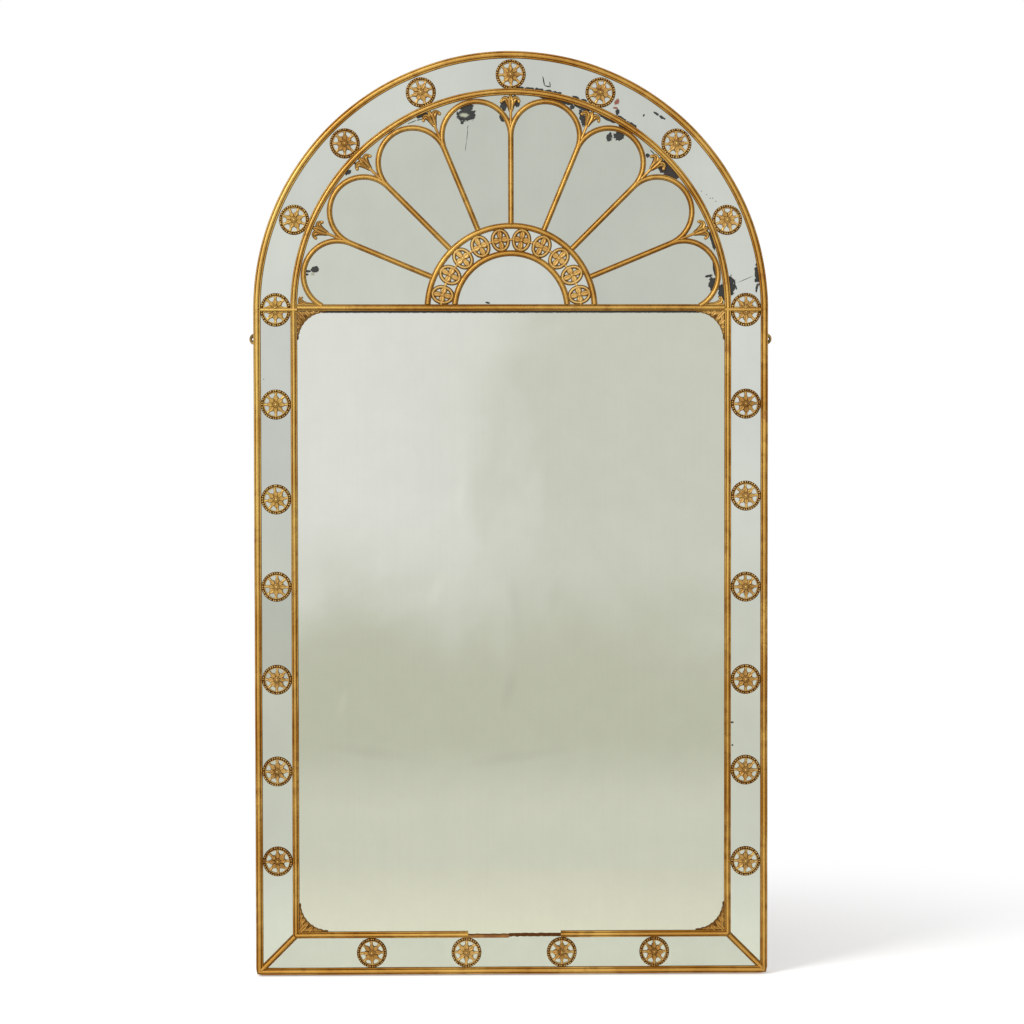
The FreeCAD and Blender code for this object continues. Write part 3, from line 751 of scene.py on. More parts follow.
def mirrorMaterial(name, look, kind):
    material, tree, shader, place = newMaterial(name)
    split = splitPlace(tree, place)
    age = useGroup(tree, agedSilver, {"Place": place})
    wander, lostAndShadowLine = age["Wander"], age["Specks"]
    if kind == "main":
        colour = mainReflections(tree, mainLook, place, split, age["Cloud"])
    else:
        foot = look["border foot"] if kind == "border" else look[kind]
        colour = mixColour(tree, stretch(tree, split["Z"], -0.1, -0.75), look[kind], foot)
        colour = shaded(tree, colour, attributeValue(tree, "tone"))
        # painted reflection: soft clouds of light and shade over the plate
        colour = shaded(tree, colour, stretch(tree, age["Cloud"], 0.3, 0.7, 0.972, 1.03))
    colour = mixColour(tree, lostAndShadowLine, shaded(tree, colour, age["Shade"]), look["bare"])
    if kind == "main":
        # painted shadow line under the cross bead, made bare like lost silver
        goneAndShadowLine = shadowLineMask(tree, shadowLineLook, split, wander)
        colour = mixColour(tree, goneAndShadowLine, colour, look["shadow line"])
    elif kind == "border":
        goneAndShadowLine = stretch(tree, spotDepth(tree, place, wander, lostSpots["specks"]), -0.08, 0.15)
        colour = mixColour(tree, goneAndShadowLine, colour, look["bare"])
    else:
        bare = spotDepth(tree, place, wander, lostSpots["bare"])
        brown = spotDepth(tree, place, wander, lostSpots["brown"])
        goneAndShadowLine = stretch(tree, larger(tree, bare, brown), -0.08, 0.08)
        colour = mixColour(tree, stretch(tree, bare, -0.08, 0.08), colour, look["bare rim"])
        colour = mixColour(tree, stretch(tree, bare, 0.1, 0.5), colour, look["bare"])
        colour = mixColour(tree, stretch(tree, brown, -0.08, 0.1), colour, look["brown"])
        edges = {"faded": (0.0, 0.7), "red": (-0.1, 0.3), "crack": (0.0, 0.4), "scratch": (0.0, 0.4)}
        for stain, edge in edges.items():
            depth = spotDepth(tree, place, wander, lostSpots[stain])
            colour = mixColour(tree, stretch(tree, depth, *edge), colour, look[stain])
    lostAndShadowLine = larger(tree, lostAndShadowLine, goneAndShadowLine)
    wire(tree, colour, shader.inputs["Base Color"])
    wire(tree, stretch(tree, lostAndShadowLine, 0.0, 1.0, 1.0, 0.0), shader.inputs["Metallic"])
    wire(tree, stretch(tree, lostAndShadowLine, 0.0, 1.0, look["roughness"], 0.5), shader.inputs["Roughness"])
    wire(tree, bumpNormal(tree, age["Ripple"], 0.0012, 0.35), shader.inputs["Normal"])
    return material


mainGlass = mirrorMaterial("silveredMainPlate", glassLook, "main")
fanGlass = mirrorMaterial("silveredFanPlates", glassLook, "fan")
archGlass = mirrorMaterial("silveredArchPlates", glassLook, "arch")
borderGlass = mirrorMaterial("silveredBorderPlates", glassLook, "border")
print("stage mirror finishes")


# Copies of CAD solids with eased edges, for the carcass, the glass and the brass
easedLook = {"merge": 2e-6, "flat": 0.6, "sharp": 25, "segments": 2, "profile": 0.6}


def easedCopy(name, node, finish, ease, tones=None, settle=None):
    work = bmesh.new()
    work.from_mesh(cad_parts[node].data)
    bmesh.ops.remove_doubles(work, verts=work.verts[:], dist=easedLook["merge"])
    bmesh.ops.dissolve_limit(work, angle_limit=radians(easedLook["flat"]), verts=work.verts[:],
                             edges=work.edges[:])
    if settle:
        settle(work)
    paired = [edge for edge in work.edges if len(edge.link_faces) == 2]
    sharp = [edge for edge in paired if edge.calc_face_angle(0) > radians(easedLook["sharp"])]
    bmesh.ops.bevel(work, geom=sharp, offset=ease * mm, segments=easedLook["segments"],
                    profile=easedLook["profile"], affect="EDGES", clamp_overlap=True)
    mesh = bpy.data.meshes.new(name)
    work.to_mesh(mesh)
    work.free()
    if tones:
        layer = mesh.attributes.new("tone", "FLOAT", "POINT")
        layer.data.foreach_set("value", [tones(v.co.x / mm, v.co.z / mm) for v in mesh.vertices])
    finishMesh(name, mesh, finish, (node,), smoothAngle["eased edges"])


carcassLook = {"ease": 0.8, "corner wear": 8.0, "wear steps": 5, "corner reach": 0.3}
carcassWood = {
    "stile_left": pineUpright, "stile_right": pineUpright, "bottom_rail": pineAcross,
    "spring_rail": pineAcross, "arch_head_left": pineUpright, "arch_head_crown": pineAcross,
    "arch_head_right": pineUpright, "lunette_ground": pineAcross, "backboard_1": pineBoard,
    "backboard_2": pineBoard, "backboard_3": pineBoard,
}


def wornCorner(work):
    # the outer edge at the foot of each stile, rounded by wear
    def atCorner(vert):
        beside, below = abs(vert.co.x) / mm - outerRadius, vert.co.z / mm - bottomZ
        return abs(beside) < carcassLook["corner reach"] and abs(below) < carcassLook["corner reach"]

    edges = [edge for edge in work.edges if all(atCorner(vert) for vert in edge.verts)]
    bmesh.ops.bevel(work, geom=edges, offset=carcassLook["corner wear"] * mm, profile=0.5,
                    segments=carcassLook["wear steps"], affect="EDGES")


for node, wood in carcassWood.items():
    settle = wornCorner if node.startswith("stile") else None
    easedCopy("eased." + node, node, wood, carcassLook["ease"], None, settle)

# brightness of each plate: down each side, and from the right round the arch and the fan
plateTones = {
    "left": (0.97, 0.91, 0.92, 0.78, 0.9, 0.92, 0.96), "right": (1.05, 1.03, 1.02, 0.95, 0.96, 0.96, 1.0),
    "arch": (0.98, 0.99, 0.94, 0.93, 0.99, 1.01, 1.0, 1.05),
    "fan": (1.0, 0.99, 0.985, 0.98, 1.0, 1.025, 1.07, 1.13), "bottom": (0.88,) * 5, "hub": (1.02,),
}
jointLook = {"open": 1.6, "closed share": 0.92}  # a joint between plates is drawn together to a fine line
sideStep = (springZ - bottomMiddle) / len(plateTones["left"])
bottomStep = 2 * borderMiddle / len(plateTones["bottom"])


def plateTone(group, index):
    tones = plateTones[group]
    return tones[min(len(tones) - 1, max(0, int(index)))]


def sideTone(side):
    return lambda x, z: plateTone(side, (springZ - z) / sideStep)


def bayTone(group):
    return lambda x, z: plateTone(group, math.degrees(math.atan2(z - springZ, x)) / bayAngle)


def evenTone(group):
    return lambda x, z: plateTone(group, 0)


def closeJoints(axis, start, step):
    def settle(work):
        for vert in work.verts:
            joint = start + step * round((vert.co[axis] / mm - start) / step)
            gap = joint - vert.co[axis] / mm
            if abs(gap) < jointLook["open"]:
                vert.co[axis] += jointLook["closed share"] * gap * mm
    return settle


def closeRays(work):
    bay = radians(bayAngle)
    for vert in work.verts:
        reach = hypot(vert.co.x, vert.co.z - springZ * mm)
        angle = math.atan2(vert.co.z - springZ * mm, vert.co.x)
        gap = bay * round(angle / bay) - angle
        if abs(gap) * reach < jointLook["open"] * mm:
            angle += jointLook["closed share"] * gap
            vert.co.x, vert.co.z = reach * cos(angle), springZ * mm + reach * sin(angle)


closeSides = closeJoints(2, springZ, sideStep)
closeBottom = closeJoints(0, bottomStep / 2, bottomStep)
glassPieces = {
    "main": ("main_plate", mainGlass, 0.3, None, None),
    "left": ("side_plates_left", borderGlass, 0.2, sideTone("left"), closeSides),
    "right": ("side_plates_right", borderGlass, 0.2, sideTone("right"), closeSides),
    "bottom": ("bottom_plates", borderGlass, 0.2, evenTone("bottom"), closeBottom),
    "arch": ("arch_plates", archGlass, 0.2, bayTone("arch"), closeRays),
    "fan": ("fan_plates", fanGlass, 0.3, bayTone("fan"), None),
    "hub": ("hub_plate", archGlass, 0.3, evenTone("hub"), None),
}
for name, (node, finish, ease, tones, settle) in glassPieces.items():
    easedCopy("glass." + name, node, finish, ease, tones, settle)

earLook = {"ease": 0.35, "hole out": 3.2, "hole radius": 4.0}


# painted shade: marks the countersunk hole so the brass is darkened round it
def earHoleShade(sign):
    hole = sign * (outerRadius + earLook["hole out"])
    return lambda x, z: 1.0 if hypot(x - hole, z) < earLook["hole radius"] else 0.0


for side, sign in sides:
    easedCopy("brass." + side, "mirror_plate_" + side, brass, earLook["ease"], earHoleShade(sign))
print("stage carcass, glass and brass")


# Gilt mouldings: fillet, quirk, round bead, quirk, fillet
mouldingLook = {
    "fillet": 1.9, "fillet height": 3.3, "quirk": 1.5, "quirk depth": 1.3, "bead height": 6.0, "slope": 0.9,
    "seat": 5.0, "quirk shade": 0.66, "edge shade": 0.56, "fillet shade": 0.4, "cross shade": 0.16,
    "arch gap": 0.05, "arch wave": 0.4,
}
profileLook = {
    "foot": 0.5, "foot shade": 0.4, "round": 0.4, "lip": 0.3, "lip drop": 0.2, "bead inset": 0.6,
    "bead start": 0.05, "bead steps": 12, "shade fall": 1.3,
}


def mouldingProfile(width, look, rebated=False):
    half = width / 2
    slope = half - look["slope"]
    edge = slope - look["fillet"]
    bead = edge - look["quirk"] * profileLook["bead inset"]
    high = look["fillet height"]
    low = high - look["quirk depth"]
    edgeShade, filletShade, quirkShade = look["edge shade"], look["fillet shade"], look["quirk shade"]
    profile = [(-half, 0, 1), (half, 0, 1)]
    if rebated:
        seat = half - look["seat"]
        profile = [(-half, 0, 1), (seat, 0, 1), (seat, -glassThickness, 1), (half, -glassThickness, 1)]
    rightSide = [
        (half, profileLook["foot"], edgeShade + profileLook["foot shade"]),
        (slope, high - profileLook["round"], edgeShade), (slope - profileLook["round"], high, filletShade),
        (edge + profileLook["lip"], high, filletShade),
        (edge - profileLook["lip"], low + profileLook["lip drop"], quirkShade),
        (edge - look["quirk"] / 2, low, quirkShade),
    ]
    middle = []
    steps, start = profileLook["bead steps"], profileLook["bead start"]
    for index in range(steps + 1):
        angle = pi * (start + (1 - 2 * start) * index / steps)
        rise = sin(angle)
        paintedShade = quirkShade - profileLook["shade fall"] * rise
        middle.append((bead * cos(angle), low + (look["bead height"] - low) * rise, paintedShade))
    return profile + rightSide + middle + [(-u, h, c) for u, h, c in reversed(rightSide)]


def roundCorner(shape, radius):
    # draws in what lies beyond the worn bottom corners
    middleX, middleZ = outerRadius - radius, bottomZ + radius
    for index, (x, z, height) in enumerate(shape.points):
        dx, dz = abs(x) - middleX, z - middleZ
        reach = hypot(dx, dz)
        if dx > 0 and dz < 0 and reach > radius:
            inX, inZ = middleX + dx * radius / reach, middleZ + dz * radius / reach
            shape.points[index] = (math.copysign(inX, x), inZ, height)


def giltRun(name, node, path, profile, seed, wave=0.25):
    shape = Shape()
    sweep(shape, path, profile, seed=seed, wave=wave)
    roundCorner(shape, carcassLook["corner wear"])
    giltPiece(name, shape, gilt, node)


def mouldingRuns(name, node, line, profile, seed):
    low = bottomZ + outerRadius - line
    for step, (side, sign) in enumerate(sides):
        path = straightPath((sign * line, low), (sign * line, springZ), (sign, 0), (-sign, 0))
        giltRun(name + "." + side, node + "_" + side, path, profile, seed + step)
    arch = arcPath((0, springZ), line, mouldingLook["arch gap"], 180 - mouldingLook["arch gap"])
    giltRun(name + ".arch", node + "_arch", arch, profile, seed + 2, mouldingLook["arch wave"])
    return low


outerProfile = mouldingProfile(outerWidth, mouldingLook, True)
innerProfile = mouldingProfile(innerWidth, mouldingLook)
outerLow = mouldingRuns("outer", "outer_bead", outerLine, outerProfile, 20.0)
innerLow = mouldingRuns("inner", "inner_bead", innerLine, innerProfile, 30.0)
bottomPath = straightPath((-outerLine, outerLow), (outerLine, outerLow), (0, -1), (-1, 1))
giltRun("outer.bottom", "outer_bead_bottom", bottomPath, outerProfile, 41.0)

# old loss in the bottom inner moulding, whose lower edge is broken too from the break on
lossLook = {
    "start": -84.0, "break": -6.0, "end": 93.0, "left": 7.2, "height": 3.2, "steps": 90, "upper loss": 1.2,
    "lower loss": 2.4, "lower jag": 1.2, "jag": 0.9, "fine jag": 0.5, "top jag": 0.7, "dark": 0.65, "pale": 0.1,
}


def brokenProfile(x, look):
    half = innerWidth / 2
    jag = look["jag"] * handWave(x * 9, 3.0, 5.0) + look["fine jag"] * handWave(x * 31, 7.0, 2.0)
    top = look["height"] + look["top jag"] * handWave(x * 17, 2.0, 4.0)
    upper, lower, dark = half - look["left"] + jag, half, look["pale"]
    if x > look["break"]:
        upper -= look["upper loss"]
        lower += look["lower jag"] * handWave(x * 14, 1.0, 9.0) - look["lower loss"]
        dark = look["dark"]
    return [(upper, 0, 1), (lower, 0, 1), (lower, top * 0.7, 0.35 + dark), (lower - 0.8, top, 0.15 + dark),
            (upper + 2.2, top * 1.1, 0.3 + dark), (upper + 0.7, top * 0.75, 0.9), (upper, top * 0.4, 1)]


def bottomInnerRun(look):
    start, end = look["start"], look["end"]
    kept = Shape()
    left = straightPath((-innerLine, innerLow), (start, innerLow), (0, -1), (-1, 0))
    right = straightPath((end, innerLow), (innerLine, innerLow), (0, -1), (0, 1))
    sweep(kept, left, innerProfile, seed=51.0)
    sweep(kept, right, innerProfile, seed=52.0)
    giltPiece("inner.bottom", kept, gilt, "inner_bead_bottom")
    strip = Shape()
    rows = []
    for index in range(look["steps"] + 1):
        x = start + (end - start) * index / look["steps"]
        rows.append([strip.point(x, innerLow - u, h, c) for u, h, c in brokenProfile(x, look)])
    strip.tube(rows)
    giltPiece("inner.bottomLoss", strip, bareBole)


bottomInnerRun(lossLook)
ringClear = innerEdge - 0.3  # what ends at the inner moulding stops just short of it
crossProfile = [(u, h, c + mouldingLook["cross shade"]) for u, h, c in innerProfile]
crossPath = straightPath((-ringClear, crossZ), (ringClear, crossZ), (0, 1))
giltRun("cross.bead", "cross_bead", crossPath, crossProfile, 61.0)
print("stage mouldings")


# Tracery: thin bands with a round bead between two fillets
traceryLook = {
    "width": 10.5, "fillet": 1.2, "fillet height": 2.9, "quirk": 1.2, "quirk depth": 1.0, "bead height": 5.2,
    "slope": 0.8, "quirk shade": 0.68, "edge shade": 0.8, "fillet shade": 0.45, "half joint": 0.5,
    "spoke start": 1.5, "spoke end": 3.0, "petal height": 0.97, "petal end": 3.0,
}
barLook = {"width": 6.5, "height": 6.6, "base": 0.8, "step": 4.0, "lap": 4.0, "mitre": 12.0, "rise": 1.26}
traceryProfile = mouldingProfile(traceryLook["width"], traceryLook)
hubOuterLine = cadBox("hub_plate")[1].z - springZ + traceryLook["half joint"]
hubBeadHalf = hubOuterEdge - hubOuterLine
hubInnerLine = hubInnerEdge - hubBeadHalf
hubProfile = mouldingProfile(2 * hubBeadHalf, traceryLook)
halfBay = radians(bayAngle / 2)
petalCentre = (ringClear - traceryLook["width"] / 2) / (1 + sin(halfBay))
petalRadius = petalCentre * sin(halfBay)
petalFoot = petalCentre * cos(halfBay)


def borderBars(look, side, sign):
    path = straightPath((sign * innerEdge, springZ), (sign * borderOuter, springZ), (0, 1), step=look["step"])
    profile = roundProfile(look["width"], look["height"], 8, look["base"])
    giltRun("bar." + side, "border_bar_" + side, path, profile, 71.0)
    corner = bottomZ + outerRadius
    inner, outer = borderInner - look["lap"], borderOuter + look["lap"]
    slant = (math.sqrt(0.5), sign * math.sqrt(0.5))
    start, end = (sign * inner, corner - inner), (sign * outer, corner - outer)
    path = straightPath(start, end, slant, step=look["step"])
    profile = [(u, h * look["rise"], c) for u, h, c in mouldingProfile(look["mitre"], traceryLook)]
    giltRun("mitre." + side, "mitre_bar_" + side, path, profile, 73.0)


def hubArc(name, radius, seed):
    lift = math.degrees(math.asin((crossHigh.z - springZ) / radius))
    path = arcPath((0, springZ), radius, lift, 180 - lift, 2.0)
    giltRun("hub." + name, "hub_bead_" + name, path, hubProfile, seed)


def spoke(look, ray):
    degrees = bayAngle * ray
    foot = polarPoint(hubOuterEdge - look["spoke start"], degrees)
    head = polarPoint(petalFoot + look["spoke end"], degrees)
    path = straightPath(foot, head, (-sin(radians(degrees)), cos(radians(degrees))), step=6.0)
    giltRun("spoke." + str(ray), "spoke_" + str(ray), path, traceryProfile, 90.0 + ray)


def petalPath(look, bay):
    middle, turn = bayAngle * (bay - 0.5), 90 + bayAngle / 2
    path = arcPath(polarPoint(petalCentre, middle), petalRadius, middle - turn, middle + turn, 4.0)
    return [entry for entry in path if entry[1] > crossHigh.z - look["petal end"]]


for side, sign in sides:
    borderBars(barLook, side, sign)
hubArc("outer", hubOuterLine, 81.0)
hubArc("inner", hubInnerLine, 82.0)
for ray in range(1, bayCount):
    spoke(traceryLook, ray)
petals = Shape()
petalProfile = [(u, h * traceryLook["petal height"], c) for u, h, c in traceryProfile]
for bay in range(1, bayCount + 1):
    sweep(petals, petalPath(traceryLook, bay), petalProfile, seed=100.0 + bay)
giltPiece("petals.carved", petals, gilt, "petals")
print("stage tracery")


# Hub roundels: an oval ring round a four-petalled flower, linked by small beads
roundelLook = {
    "count": 10, "first": 12.3, "overlap": 1.6, "apart": 6.5, "ring": 3.8, "ring height": 4.4, "ring base": 0.8,
    "ring shadow skirt": 1.95, "ring shade": 1.7, "ring wave": 0.15, "petal height": 5.2, "petal widths": (9.8, 11.4),
    "petal gap": 1.9, "boss": 2.8, "boss height": 6.2, "boss base": 2.0, "link": 2.9, "link height": 4.6,
    "side bead": (1.5, 2.0), "side height": 3.2, "side out": 2.9, "end in": 0.995, "end up": 2.0,
}
roundelPetal = dict(plainLeaf, groove=0.38, tip=1.25, across=8, start=1.6, shade=0.95, shadowSkirt=1.3)
hubClearOuter = hubOuterLine - hubBeadHalf
hubMiddle = (hubClearOuter + hubInnerEdge) / 2
roundelStep = (180 - 2 * roundelLook["first"]) / (roundelLook["count"] - 1)
roundelLength = hubClearOuter - hubInnerEdge + roundelLook["overlap"]
roundelWidth = 2 * hubMiddle * sin(radians(roundelStep / 2)) - roundelLook["apart"]


def roundel(look, seed):
    shape = Shape()
    ring = look["ring"]
    halves = (roundelLength - ring) / 2, (roundelWidth - ring) / 2
    band = roundProfile(ring, look["ring height"], 7, look["ring base"], look["ring shadow skirt"])
    band = [(u, h, look["ring shade"] * c) for u, h, c in band]
    sweep(shape, ovalPath(*halves), band, True, seed, look["ring wave"])
    for lobe in range(4):  # small sine terms set each petal a little apart from the next, as handwork does
        reach = (halves[lobe % 2] - look["petal gap"]) * (1 + 0.04 * sin(seed + lobe))
        bend = 0.5 * sin(seed * 3 + lobe)
        petal = carvedLeaf(roundelPetal, reach, look["petal widths"][lobe % 2], look["petal height"], bend)
        shape.add(petal, 0, 0, 90 * lobe - 90 + 4 * sin(seed * 2 + lobe))
    dome(shape, 0, 0, look["boss"], look["boss"], look["boss height"], look["boss base"])
    return shape


def linkBeads(shape, look, index):
    # a bead between two roundels, or at the end of the row on the cross bead, with one smaller on each side
    degrees = look["first"] + roundelStep * (index + 0.5)
    x, z = polarPoint(hubMiddle, degrees)
    if index in (-1, look["count"] - 1):
        x, z = math.copysign(hubMiddle * look["end in"], x), crossHigh.z + look["end up"]
    dome(shape, x, z, look["link"], look["link"], look["link height"])
    for way in (-look["side out"], look["side out"]):
        angle = radians(degrees + 90)
        dome(shape, x + way * cos(angle), z + way * sin(angle), *look["side bead"], look["side height"],
             degrees=degrees + 90, around=8, rings=3)


hubBand = Shape()
for index in range(roundelLook["count"]):
    degrees = roundelLook["first"] + roundelStep * index
    hubBand.add(roundel(roundelLook, 1.0 + index), *polarPoint(hubMiddle, degrees), degrees)
for index in range(-1, roundelLook["count"]):
    linkBeads(hubBand, roundelLook, index)
giltPiece("hub.roundels", hubBand, brightGilt, "hub_roundels")
print("stage hub roundels")


# Palmettes: a grooved stem, a pointed middle leaf and two curling side leaves
carvingWave = 0.1
palmetteLook = {
    "stem": 5.2, "collar": 0.42, "collar size": (4.4, 1.9), "collar height": 5.6,
    "trunk": (7.6, 10.4, 13.4, 13.6), "leaf": 12.0, "leaf length": 0.36, "leaf start": 0.65, "height": 5.6,
    "spread": 17.0, "side": (6.2, 9.2, 10.2, 8.4, 5.0), "curl": 3.2, "curl height": 4.2, "curl base": 0.4,
    "half length": 37.5, "half stem": (2.0, 4.8, 6.6, 6.0), "half side": (3.4, 6.2, 8.4, 7.8, 5.2),
}
palmetteLeaf = dict(plainLeaf, groove=0.4, tip=0.7, along=10, notch=0.06, shade=1.25, shadowSkirt=0.9)
leafSide = [(0.46, 0.3, 0.85), (0.29, 0.56, 0.05), (0.12, 0.46, 0.45)]
leafProfile = [(-0.6, 0, 1), (0.6, 0, 1)] + leafSide + [(0, 0.36, 0.95)]
leafProfile += [(-u, h, c) for u, h, c in reversed(leafSide)]
petalEdge = petalRadius + traceryLook["width"] / 2
palmetteBase = petalFoot + math.sqrt(petalEdge ** 2 - petalRadius ** 2)
palmetteLength = ringClear - palmetteBase


def carve(shape, line, widths, steps, seed, profile=leafProfile):
    sweep(shape, curvePath(line, widths, steps), profile, seed=seed, wave=carvingWave)


def palmette(look, length, seed):
    shape = Shape()
    stem, collar = look["stem"], look["collar"] * length
    stemLine = ((0, -7), (0, 4), (0, 0.2 * length), (0, collar))
    trunkLine = ((0, collar), (0, 0.55 * length), (0, 0.68 * length), (0, 0.8 * length))
    carve(shape, stemLine, (0.9 * stem, stem, 1.1 * stem), 8, seed, roundProfile(1.0, 0.95, 6, 0.15))
    dome(shape, 0, collar, *look["collar size"], look["collar height"], 1.0)
    carve(shape, trunkLine, look["trunk"], 10, seed)
    leaf = carvedLeaf(palmetteLeaf, look["leaf length"] * length, look["leaf"], look["height"], 0.5 * sin(seed))
    shape.add(leaf, 0, look["leaf start"] * length)
    for sign in (-1, 1):
        spread = look["spread"] * sign * (1 + 0.06 * sin(seed * 5 + sign))
        line = ((1.8 * sign, 0.48 * length), (2.8 * sign, 0.77 * length),
                (0.55 * spread, 1.02 * length), (spread, 0.77 * length))
        carve(shape, line, look["side"], 16, seed + 1)
        curl = (look["curl"], look["curl"], look["curl height"], look["curl base"])
        dome(shape, 0.98 * spread, 0.765 * length, *curl)
    return shape


def halfPalmette(look, seed):
    # along the cross bead towards the ring, its side leaf curling up
    shape = Shape()
    carve(shape, ((2, 0.2), (12, 0.6), (24, 0.8), (36, 0.6)), look["half stem"], 12, seed)
    carve(shape, ((14, 1.0), (27, 1.0), (35, 4), (30.5, 13.5)), look["half side"], 14, seed + 1)
    dome(shape, 29.2, 12.6, look["curl"], 2.0, 4.0, look["curl base"])
    return shape


leaves = Shape()
for ray in range(1, bayCount):
    degrees = bayAngle * ray
    whole = palmette(palmetteLook, palmetteLength, 3.0 * ray)
    leaves.add(whole, *polarPoint(palmetteBase, degrees), degrees - 90)
for sign in (-1, 1):
    half = halfPalmette(palmetteLook, 40.0 + sign)
    leaves.add(half, sign * (ringClear - palmetteLook["half length"]), crossHigh.z, signX=sign)
giltPiece("palmettes.carved", leaves, palmetteGilt, "palmettes")


# Corner leaves: a hollow quarter of foliage in each corner of the main plate
cornerLook = {
    "leg": 54.0, "tip": 1.4, "steps": 36, "frill": 1.0, "hand frill": 0.5, "plate": 2.2, "ripple": 0.7,
    "shares": (0.0, 0.35, 0.7, 1.0), "leaf": 4.8, "leaflets": 7, "first turn": 196, "fan": 58, "deepest": 17.0,
    "widest": 8.6, "lean": 8, "margin": 0.5, "spine": (22.0, 9.0, 5.8), "side leaves": 3, "top gap": 0.2,
}
cornerLeaflet = dict(plainLeaf, groove=0.5, along=8, shade=0.9, shadowSkirt=0.5)
cornerSpine = dict(plainLeaf, groove=0.5, tip=0.7, along=10, notch=0.1)
cornerSideLeaf = dict(plainLeaf, groove=0.5, tip=0.75, along=8, shade=0.9)


def cornerGround(look, seed):
    # a rippled plate between the two mouldings and a frilled arc, in painted shade between the leaves
    shape = Shape()
    leg, count = look["leg"], look["steps"]
    rows = []
    for index in range(count + 1):
        angle = radians(180 + 90 * index / count)
        frill = look["frill"] * abs(sin(index * pi / 4)) + look["hand frill"] * handWave(index * 40, seed, 3.0)
        reach = leg - look["tip"] - frill
        x, z = leg + reach * cos(angle), leg + reach * sin(angle)
        edgeX = x if index > count / 2 else 0.0
        edgeZ = z if index < count / 2 else 0.0
        row = []
        for share in look["shares"]:
            level = look["plate"] + look["ripple"] * sin(share * 7 + index * 0.9)
            paintedShade = 0.8 + 0.15 * sin(index * 1.7 + share * 5)
            row.append(shape.point(x + (edgeX - x) * share, z + (edgeZ - z) * share, level, paintedShade))
        rows.append(row)
    shape.stitch(rows, around=False)
    rim = [row[0] for row in rows] + rows[-1][1:] + [row[-1] for row in rows[-2::-1]] + rows[0][2:0:-1]
    shape.skirt(rim, [shape.point(*shape.points[index][:2], 0.0, 1.0) for index in rim])
    return shape


def cornerLeaf(look, seed):
    shape = cornerGround(look, seed)
    leg, radius, count = look["leg"], look["leg"] - look["tip"], look["leaflets"]
    for index in range(count):
        turn = look["first turn"] + look["fan"] * index / (count - 1)
        cosine, sine = cos(radians(turn)), sin(radians(turn))
        depth = min(look["deepest"], (leg - look["margin"]) / max(-cosine, -sine) - radius)
        width = min(look["widest"], 3.0 + 0.6 * depth)
        leaflet = carvedLeaf(cornerLeaflet, depth, width, look["leaf"], 0.8 * sin(seed + index))
        lean = look["lean"] if index < count / 2 else -look["lean"]
        shape.add(leaflet, leg + (radius + depth) * cosine, leg + (radius + depth) * sine, turn + 90 + lean)
    shape.add(carvedLeaf(cornerSpine, *look["spine"]), 0.6, 0.6, -45)
    for flip in (1, -1):
        for step in range(look["side leaves"]):
            height = look["leaf"] - 0.6 * step
            leaf = carvedLeaf(cornerSideLeaf, 15.0 - step, 6.4 - 1.8 * step, height, 0.5 * flip)
            place = (3.4 - step, 7.0 + 11.0 * step)
            shape.add(leaf, *place[::flip], -4 if flip > 0 else 4 - 90)
    return shape


corners = Shape()
lowCorner = bottomZ + outerRadius - ringClear
for signZ, z in ((1, lowCorner), (-1, crossLow.z - cornerLook["top gap"])):
    for signX in (1, -1):
        leaf = cornerLeaf(cornerLook, 2.0 + signX + 3 * signZ)
        corners.add(leaf, -signX * ringClear, z, signX=signX, signZ=signZ)
giltPiece("corner.leaves", corners, leafGilt, "corner_leaves")
print("stage leaves")


# Border rosettes: a beaded ring on eight thin spokes round an eight-petalled star
rosetteLook = {
    "overlap": 0.6, "rim": 6.0, "rim height": 2.4, "rim base": 1.4, "rim shade": 0.95,
    "lip": 1.9, "lip height": 3.8, "lip in": 0.2,
    "beads": 36, "bead": (1.9, 1.5), "bead height": 5.0, "bead base": 1.6, "bead out": 0.4,
    "rays": 8, "spoke": 4.2, "spoke height": 3.4, "spoke start": 7.0, "spoke lap": 0.6, "shadowSkirt": 0.5,
    "star": 18.0, "petal": 9.8, "petal height": 5.2, "eye": 3.8, "eye ring": 1.3, "eye height": 4.6,
    "eye shade": 0.3, "ground": 6.5, "ground height": 3.0, "boss": 3.0, "boss height": 6.8, "saw cut": 0.17,
}
starPetal = dict(plainLeaf, groove=0.5, tip=1.5, across=8, start=2.4, shade=1.4, full=1.25)
rosetteRadius = (borderOuter - borderInner) / 2 + rosetteLook["overlap"]


def evenShade(profile, paintedShade):
    return [(u, h, paintedShade) for u, h, c in profile]


def rosetteRay(shape, look, index, outer, seed):
    turn = 360 * index / look["rays"]
    cosine, sine = cos(radians(turn)), sin(radians(turn))
    inner = look["spoke start"]
    start, end = (inner * cosine, inner * sine), (outer * cosine, outer * sine)
    path = straightPath(start, end, (-sine, cosine), step=3.0)
    profile = roundProfile(look["spoke"], look["spoke height"], 6, 0.8, look["shadowSkirt"])
    sweep(shape, path, profile, seed=seed + index, wave=carvingWave)
    length = look["star"] * (1 + 0.07 * sin(seed * 11 + index * 4)) - starPetal["start"]
    width = look["petal"] * (1 + 0.08 * sin(seed * 3 + index * 7))
    petal = carvedLeaf(starPetal, length, width, look["petal height"], 0.5 * sin(seed * 13 + index * 2))
    shape.add(petal, 0, 0, turn - 90 + 3 * sin(seed * 17 + index * 5))


